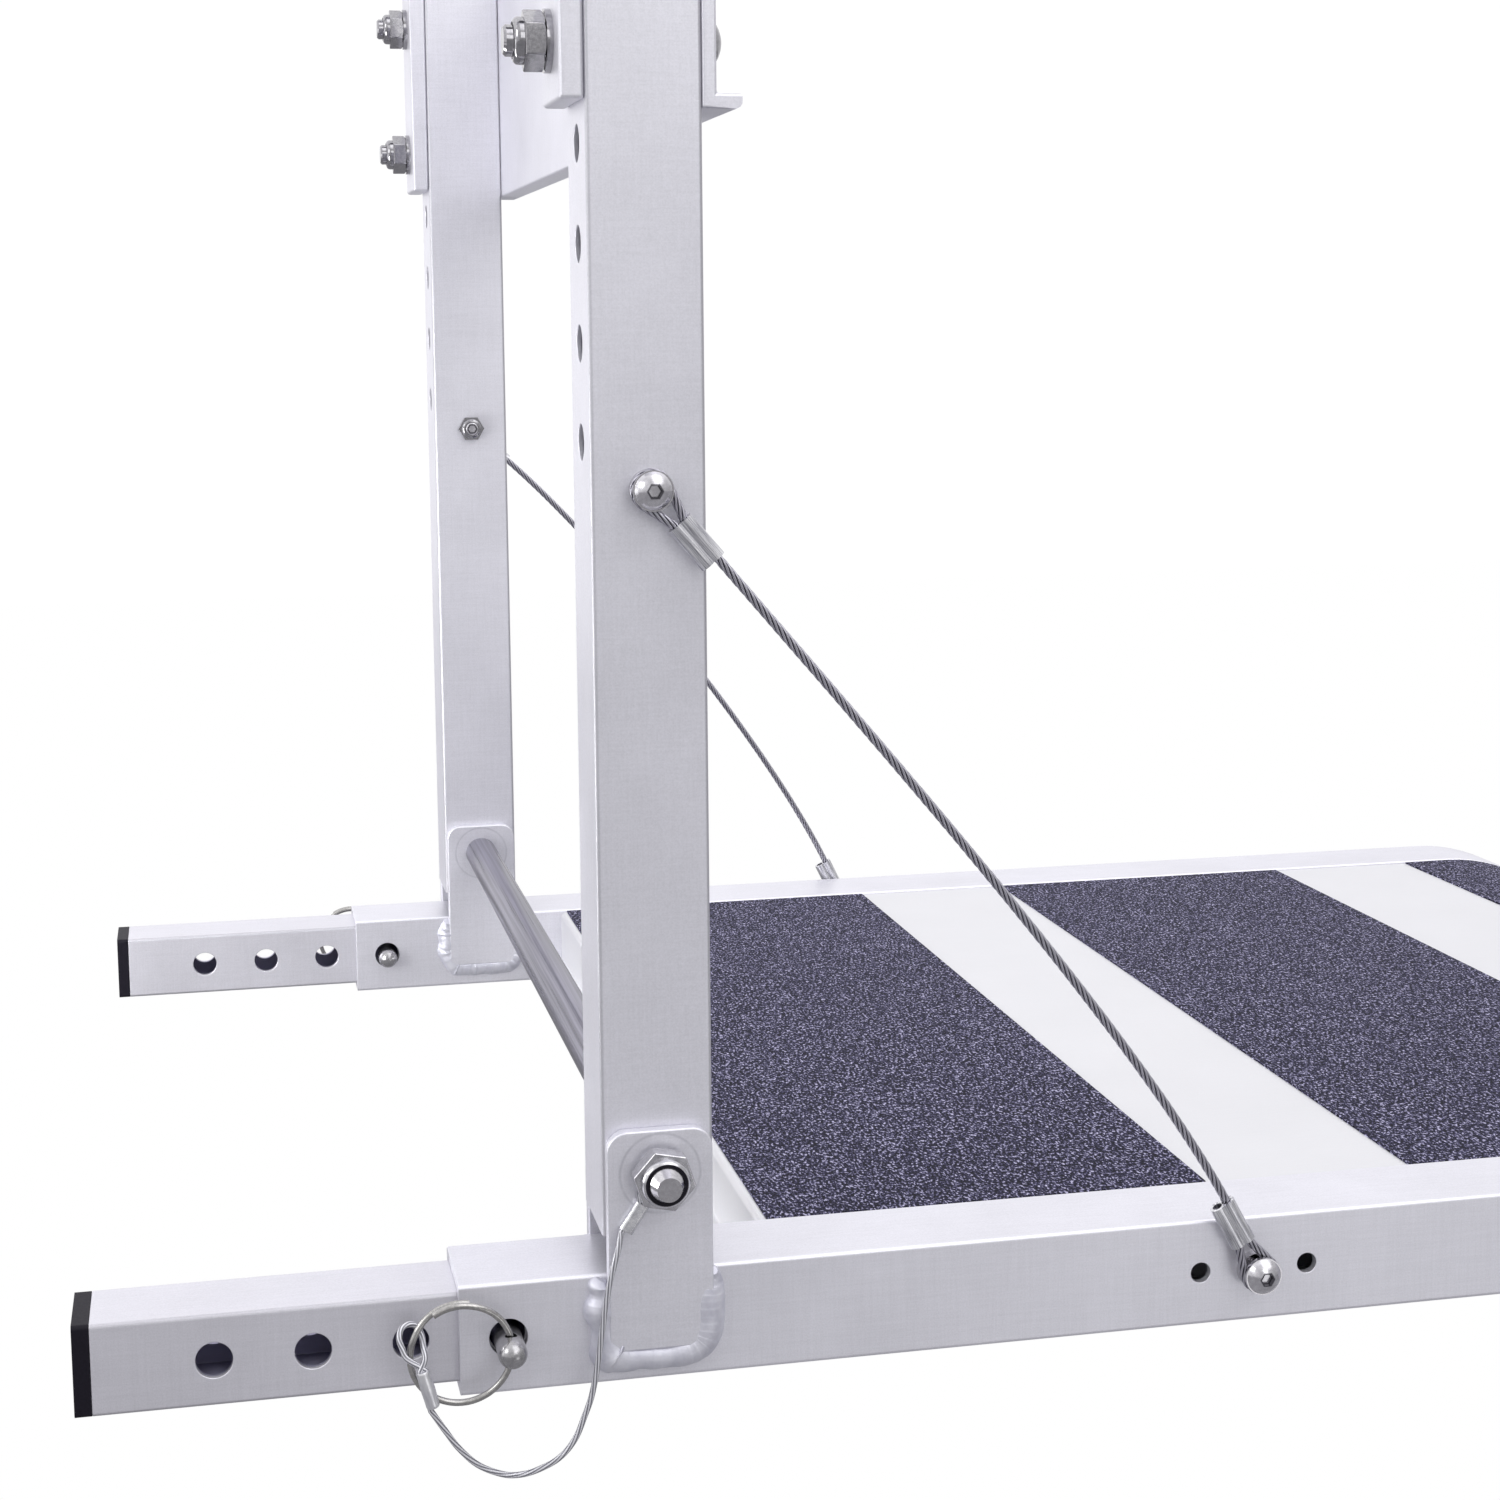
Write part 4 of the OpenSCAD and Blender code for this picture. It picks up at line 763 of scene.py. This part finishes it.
def paintedSocketShade(s, socket):  # painted shade along a hexagon's edge round each place, with two of its flats level, where the sunk socket falls into shade
    reach = 1
    for x, z in socket["places"]:
        place = s.split(s.coords(move=(-x, 0, -z)))
        spread = s.maths("MULTIPLY", place[0], math.cos(math.pi / 6))
        rise = s.maths("MULTIPLY", place[2], 0.5)
        reachHere = s.maths("ABSOLUTE", place[2])
        for sign in ("ADD", "SUBTRACT"):
            reachHere = s.maths("MAXIMUM", reachHere, s.maths("ABSOLUTE", s.maths(sign, spread, rise)))
        reach = s.maths("MINIMUM", reach, reachHere)
    off = s.maths("ABSOLUTE", s.maths("SUBTRACT", reach, socket["flats"] * socket["at"]))
    line = s.maths("SUBTRACT", socket["firm"], s.maths("DIVIDE", off, socket["flats"] * socket["width"]))
    return s.maths("MULTIPLY", s.clamp(line), socket["share"])


scuffAndSheenBand = (0.36, 0.64)  # values of the noise that are fully dark and fully light, for scuffs and for the painted highlight and shade bands of the sleeves
scuffDepth = 0.00005


def makeSteel(name, look):
    material, s, shader = newMaterial(name)
    place = s.coords(look.get("coords", "Object"), scale=look.get("stretch", (1, 1, 1)))
    # scuffs on most parts; on the sleeves, read on UVs round each barrel, it paints lengthwise bands of highlight and
    # shade
    scuffAndSheen = s.noise(place, look["scuffAndSheenScale"])
    tone = s.ramp(scuffAndSheen, [(scuffAndSheenBand[0], look["dark"]), (scuffAndSheenBand[1], look["light"])])
    if "socket" in look:  # painted shade outlining the hexagon sunk in each bolt's head
        tone = s.mix(paintedSocketShade(s, look["socket"]), tone, look["socket"]["tone"])
    s.join(tone, shader.inputs["Base Color"])
    s.join(s.maths("ADD", look["rough"], s.maths("MULTIPLY", scuffAndSheen, look["roughSpread"])), shader.inputs["Roughness"])
    shader.inputs["Metallic"].default_value = 1
    s.join(s.bump(scuffAndSheen, look["bump"], scuffDepth), shader.inputs["Normal"])
    return material


polished = makeSteel("polishedSteel", {
    "dark": (0.52, 0.51, 0.53), "light": (0.6, 0.59, 0.61), "scuffAndSheenScale": 900,
    "rough": 0.1, "roughSpread": 0.12, "bump": 0.08,
})
headPlaces = ((0, 0, cable["topZ"]), (cable["lowX"], 0, drawing["railS"] / 2))
buttonSteel = makeSteel("buttonSteel", {
    "dark": (0.54, 0.53, 0.56), "light": (0.68, 0.67, 0.7), "scuffAndSheenScale": 500,
    "rough": 0.14, "roughSpread": 0.14, "bump": 0.15,
    # painted shade in the hexagon socket of each bolt head
    "socket": {"places": [tuple(toRow(p, rightSide))[::2] for p in headPlaces], "flats": 0.0039, "at": 0.53,
               "firm": 1.5, "width": 0.09, "share": 0.9, "tone": (0.05, 0.048, 0.06)},
})
pinSteel = makeSteel("pinSteel", {
    "dark": (0.36, 0.355, 0.365), "light": (0.46, 0.455, 0.465), "scuffAndSheenScale": 700,
    "rough": 0.2, "roughSpread": 0.1, "bump": 0.02,
})
hingeNutSteel = makeSteel("hingeNutSteel", {
    "dark": (0.5, 0.495, 0.52), "light": (0.66, 0.655, 0.68), "scuffAndSheenScale": 500,
    "rough": 0.12, "roughSpread": 0.14, "bump": 0.1,
})
nutSteel = makeSteel("nutSteel", {
    "dark": (0.33, 0.325, 0.345), "light": (0.42, 0.415, 0.43), "scuffAndSheenScale": 900,
    "rough": 0.06, "roughSpread": 0.1, "bump": 0.05,
})
ringSteel = makeSteel("ringSteel", {
    "dark": (0.36, 0.355, 0.345), "light": (0.48, 0.47, 0.455), "scuffAndSheenScale": 900,
    "rough": 0.14, "roughSpread": 0.14, "bump": 0.08,
})
spacerSteel = makeSteel("brushedRod", {
    "dark": (0.12, 0.115, 0.15), "light": (0.33, 0.32, 0.39), "scuffAndSheenScale": 90, "stretch": (7, 0.05, 7),
    "rough": 0.22, "roughSpread": 0.15, "bump": 0.25,
})
# pressed sleeves with painted highlight and shade in bands along their barrels
sleeveMetal = makeSteel("pressedSleeve", {
    "dark": (0.38, 0.38, 0.42), "light": (0.95, 0.95, 0.97),
    "scuffAndSheenScale": 2.2, "coords": "UV", "stretch": (0.35, 2.4, 1),
    "rough": 0.2, "roughSpread": 0.2, "bump": 0.6,
})
# the rolled sleeve with painted highlight and shade in bands along it
rolledSleeve = makeSteel("rolledSleeve", {
    "dark": (0.66, 0.66, 0.7), "light": (0.98, 0.98, 0.99),
    "scuffAndSheenScale": 2.4, "coords": "UV", "stretch": (0.25, 1.5, 1),
    "rough": 0.26, "roughSpread": 0.14, "bump": 0.2,
})
smallSleeveMetal = makeSteel("smallSleeve", {
    "dark": (0.66, 0.66, 0.69), "light": (0.9, 0.9, 0.92), "scuffAndSheenScale": 400,
    "rough": 0.16, "roughSpread": 0.16, "bump": 0.2,
})


def woundHeight(s, look):  # 0 to 1 across each wire or yarn of a rope, from its UVs
    place = s.split(s.coords("UV"))
    wind = s.maths("ADD", s.maths("MULTIPLY", place[0], look["alongTurns"]),
                   s.maths("MULTIPLY", place[1], look["roundTurns"]))
    return s.maths("MULTIPLY_ADD", s.maths("SINE", s.maths("MULTIPLY", wind, 2 * math.pi)), 0.5, 0.5)


wireLook = {
    "alongTurns": 340,
    "roundTurns": 6,
    # the tone between the wires is painted shade; the crest is the wires' own tone
    "between": (0.46, 0.455, 0.49),
    "crest": (0.8, 0.8, 0.83),
    # painted shade by the crown mark, darkest on the faces turned to the core
    "grooveShades": [(0.64, (0.03, 0.028, 0.045)), (0.78, (0.25, 0.24, 0.29)), (0.93, (0.76, 0.75, 0.79))],
    "rough": 0.3,
    "bump": 0.25,
    "depth": 0.00004,
}


def makeWireRope():
    material, s, shader = newMaterial("wireRope")
    # Wires within a strand, wound the other way
    height = woundHeight(s, wireLook)
    # Painted shade between the wires of each strand, and darker painted shade where the strands meet, least on their
    # crowns
    crown = s.node("ShaderNodeAttribute", attribute_name="crown").outputs["Fac"]
    grooveShade = s.ramp(crown, wireLook["grooveShades"])
    tone = s.mix(height, wireLook["between"], wireLook["crest"])
    s.join(s.mix(1, tone, grooveShade, "MULTIPLY"), shader.inputs["Base Color"])
    shader.inputs["Metallic"].default_value = 1
    shader.inputs["Roughness"].default_value = wireLook["rough"]
    s.join(s.bump(height, wireLook["bump"], wireLook["depth"]), shader.inputs["Normal"])
    return material


wireRope = makeWireRope()

cordLook = {
    "alongTurns": 1,
    "roundTurns": 6,
    # darker where the strands meet, as painted shade, and light on their crests
    "tones": [(0.15, (0.16, 0.16, 0.19)), (0.85, (0.74, 0.74, 0.78))],
    "metallic": 0.35,
    "rough": 0.35,
    "coat": 0.8,
    "coatRough": 0.12,
    "bump": 0.6,
    "depth": 0.00012,
}


def makeCoatedRope():
    material, s, shader = newMaterial("coatedRope")
    height = woundHeight(s, cordLook)
    s.join(s.ramp(height, cordLook["tones"]), shader.inputs["Base Color"])
    shader.inputs["Metallic"].default_value = cordLook["metallic"]
    shader.inputs["Roughness"].default_value = cordLook["rough"]
    shader.inputs["Coat Weight"].default_value = cordLook["coat"]
    shader.inputs["Coat Roughness"].default_value = cordLook["coatRough"]
    s.join(s.bump(height, cordLook["bump"], cordLook["depth"]), shader.inputs["Normal"])
    return material


coatedRope = makeCoatedRope()

plasticLook = {
    "fleck": 900,
    "dark": (0.004, 0.0032, 0.007),
    "light": (0.011, 0.009, 0.017),
    "rough": 0.42,
    "roughSpread": 0.2,
    "specular": 0.18,
    "bump": 0.3,
    "depth": 0.0001,
}


def makePlastic():
    material, s, shader = newMaterial("blackPlastic")
    fleck = s.noise(s.coords(), plasticLook["fleck"])
    s.join(s.mix(fleck, plasticLook["dark"], plasticLook["light"]), shader.inputs["Base Color"])
    s.join(s.maths("ADD", plasticLook["rough"], s.maths("MULTIPLY", fleck, plasticLook["roughSpread"])),
           shader.inputs["Roughness"])
    shader.inputs["Specular IOR Level"].default_value = plasticLook["specular"]
    s.join(s.bump(fleck, plasticLook["bump"], plasticLook["depth"]), shader.inputs["Normal"])
    return material


blackPlastic = makePlastic()

gripLook = {
    "stretch": (1, 0.55, 1),
    "grit": 1050,
    "gritShare": 0.72,
    "fine": 2600,
    "fineShare": 0.28,
    "tones": [(0.42, (0.0015, 0.0012, 0.007)), (0.5, (0.012, 0.0105, 0.034)), (0.56, (0.07, 0.066, 0.14)),
              (0.63, (0.54, 0.52, 0.71))],
    "rough": 0.6,
    "specular": 0.1,
    "bump": 0.8,
    "depth": 0.0005,
}


def makeGripTape():
    material, s, shader = newMaterial("gripTape")
    place = s.coords(scale=gripLook["stretch"])
    grit = s.noise(place, gripLook["grit"], detail=2)
    fine = s.noise(place, gripLook["fine"], detail=2)
    height = s.maths("ADD", s.maths("MULTIPLY", grit, gripLook["gritShare"]),
                     s.maths("MULTIPLY", fine, gripLook["fineShare"]))
    s.join(s.ramp(height, gripLook["tones"]), shader.inputs["Base Color"])
    shader.inputs["Roughness"].default_value = gripLook["rough"]
    shader.inputs["Specular IOR Level"].default_value = gripLook["specular"]
    s.join(s.bump(height, gripLook["bump"], gripLook["depth"]), shader.inputs["Normal"])
    return material


gripTape = makeGripTape()

weldLook = {
    "cloud": 120,
    "tones": [(0.3, (0.54, 0.54, 0.62)), (0.5, (0.66, 0.66, 0.73)), (0.68, (0.76, 0.76, 0.82))],
    "metallic": 0.55,
    "rough": 0.36,
    "roughSpread": 0.24,
    "bump": 0.5,
    "depth": 0.0006,
}


def makeWeldMetal():
    material, s, shader = newMaterial("weldAluminium")
    cloud = s.noise(s.coords(), weldLook["cloud"], detail=4, rough=0.55)
    s.join(s.ramp(cloud, weldLook["tones"]), shader.inputs["Base Color"])
    shader.inputs["Metallic"].default_value = weldLook["metallic"]
    s.join(s.maths("ADD", weldLook["rough"], s.maths("MULTIPLY", cloud, weldLook["roughSpread"])),
           shader.inputs["Roughness"])
    s.join(s.bump(cloud, weldLook["bump"], weldLook["depth"]), shader.inputs["Normal"])
    return material


weldMetal = makeWeldMetal()
print("materials built")


# Finish of every CAD node, and of the piece that takes its place under the same name or one given here
finishes = {
    anodised: ["right_hanger_bar", "left_hanger_bar", "cross_angle", "right_rail", "left_rail", "deck_cross_tubes"],
    uprightAluminium: ["right_upright", "left_upright"],
    armAluminium: ["right_arm", "left_arm"],
    earAluminium: ["right_hinge_ears", "left_hinge_ears"],
    deckSatin: ["deck_sheet"],
    gripTape: ["grip_strips"],
    blackPlastic: ["upright_caps", "rail_end_caps", "arm_caps", "hinge_nut_inserts"],
    pinSteel: ["right_pin", "left_pin"],
    hingeNutSteel: ["hinge_nuts"],
    polished: ["hinge_rod", "upper_cable_spacers", "upper_cable_washers",
               "lower_cable_spacers", "lower_cable_washers", "upper_thimbles", "lower_thimbles"],
    buttonSteel: ["upper_cable_bolts", "lower_cable_bolts"],
    nutSteel: ["hanger_bolts", "hanger_washers", "hanger_nuts", "upper_cable_nuts", "lower_cable_nuts"],
    spacerSteel: ["hinge_spacer_tube"],
    sleeveMetal: ["upper_ferrules", "lower_ferrules"],
    smallSleeveMetal: ["lanyard_upper_ferrule", "lanyard_lower_ferrule"],
    rolledSleeve: ["lanyardLowerSleeve"],
    wireRope: ["right_support_cable", "left_support_cable", "rightSupportRope", "leftSupportRope"],
    coatedRope: ["lanyard_cord", "lanyard_upper_eye", "lanyard_lower_eye", "lanyardUpperRun", "lanyardLowerRun"],
    ringSteel: ["right_pull_ring", "left_pull_ring"],
    weldMetal: ["right_ear_welds", "left_ear_welds"],
}
for material, names in finishes.items():
    for name in names:
        for piece in (nodes.get(name), bpy.data.objects.get(camelName(name))):
            if piece:
                piece.data.materials.clear()
                piece.data.materials.append(material)
print("finishes laid on")


# Floor, light and backdrop; the glow of the room is stronger from above and behind, as in a light tent
studio = {
    "floorZ": -1.6,
    "floorSize": 12,
    "floorTone": (0.3, 0.3, 0.31, 1),
    "floorRough": 0.9,
    "backdrop": 1.02,
    "roomTone": (0.985, 0.98, 1, 1),
    "glow": {"base": 0.8, "right": -0.22, "back": 0.2, "up": 0.25},
    "leastGlow": 0.15,
    "dark": {"towards": (-0.1, -0.92, -0.38), "from": 0.86, "to": 1.0, "share": 0.4},
    "bright": {"towards": (0.39, -0.36, 0.85), "from": 0.84, "to": 0.97, "more": 1.3},
    "lamps": [  # name, place, turn in degrees, size, power in watts
        ("topLamp", (0.3, 0.1, 0.9), (0, 0, 0), (3, 1.1), 2),
        ("leftLamp", (-1.7, -0.9, 0.7), (0, -62, 25), (0.9, 0.9), 8),
        ("frontLamp", (0.6, -1.9, 0.55), (69, 0, 17), (0.9, 0.9), 3.6),
        ("lowLamp", (1, -1.8, -1.05), (106, 0, 21), (0.8, 0.5), 1.1),
        ("sideLamp", (-1.9, 0.2, -0.4), (0, -90, 0), (0.8, 1.2), 2.4),
        ("innerLamp", (-0.4, -0.06, -0.42), (100, 0, -40), (0.3, 0.3), 2.1),
    ],
}


def seenAs(s, real, seen, output):  # the camera sees one shader, and light meets the other
    eye = s.node("ShaderNodeLightPath")
    either = s.node("ShaderNodeMixShader")
    s.join(eye.outputs["Is Camera Ray"], either.inputs[0])
    s.join(real.outputs[0], either.inputs[1])
    s.join(seen.outputs[0], either.inputs[2])
    s.join(either.outputs[0], s.tree.nodes[output].inputs["Surface"])


floorMesh = bpy.data.meshes.new("floor")
floorShape = bmesh.new()
bmesh.ops.create_grid(floorShape, x_segments=1, y_segments=1, size=studio["floorSize"])
bmesh.ops.translate(floorShape, verts=floorShape.verts, vec=(0, 0, studio["floorZ"]))
floorShape.to_mesh(floorMesh)
floorShape.free()
floorPaint, s, shader = newMaterial("paleFloor")
shader.inputs["Base Color"].default_value = studio["floorTone"]
shader.inputs["Roughness"].default_value = studio["floorRough"]
seenAs(s, shader, s.node("ShaderNodeEmission"), "Material Output")
floor = putInScene("floor", floorMesh)
floorMesh.materials.append(floorPaint)

for name, place, turn, size, power in studio["lamps"]:
    lampData = bpy.data.lights.new(name, "AREA")
    lampData.shape = "RECTANGLE"
    lampData.size, lampData.size_y = size
    lampData.energy = power
    lamp = bpy.data.objects.new(name, lampData)
    lamp.location = place
    lamp.rotation_euler = [math.radians(a) for a in turn]
    lamp.visible_camera = False
    bpy.context.scene.collection.objects.link(lamp)

world = bpy.data.worlds.new("studio")
bpy.context.scene.world = world
world.use_nodes = True
w = Sheet(world.node_tree)
direction = w.node("ShaderNodeTexCoord").outputs["Generated"]
towards = w.split(direction)
glow = studio["glow"]
strength = w.maths("MULTIPLY_ADD", towards[0], glow["right"], glow["base"])
strength = w.maths("MULTIPLY_ADD", towards[1], glow["back"], strength)
strength = w.maths("MULTIPLY_ADD", towards[2], glow["up"], strength)


def zone(name, low, high):  # from low to high as the direction nears the middle of a zone
    facing = w.node("ShaderNodeVectorMath", operation="DOT_PRODUCT")
    w.join(direction, facing.inputs[0])
    facing.inputs[1].default_value = Vector(studio[name]["towards"]).normalized()
    nearing = w.node("ShaderNodeMapRange", interpolation_type="SMOOTHSTEP")
    w.join(facing.outputs["Value"], nearing.inputs["Value"])
    w.feed(nearing, From_Min=studio[name]["from"], From_Max=studio[name]["to"], To_Min=low, To_Max=high)
    return nearing.outputs[0]


strength = w.maths("ADD", strength, zone("bright", 0, studio["bright"]["more"]))
strength = w.maths("MAXIMUM", strength, studio["leastGlow"])
strength = w.maths("MULTIPLY", strength, zone("dark", 1, 1 - studio["dark"]["share"]))
room = w.feed(w.node("ShaderNodeBackground"), Color=studio["roomTone"])
w.join(strength, room.inputs["Strength"])
backdrop = w.feed(world.node_tree.nodes["Background"], Color=(1, 1, 1, 1), Strength=studio["backdrop"])
seenAs(w, room, backdrop, "World Output")
print("studio set")
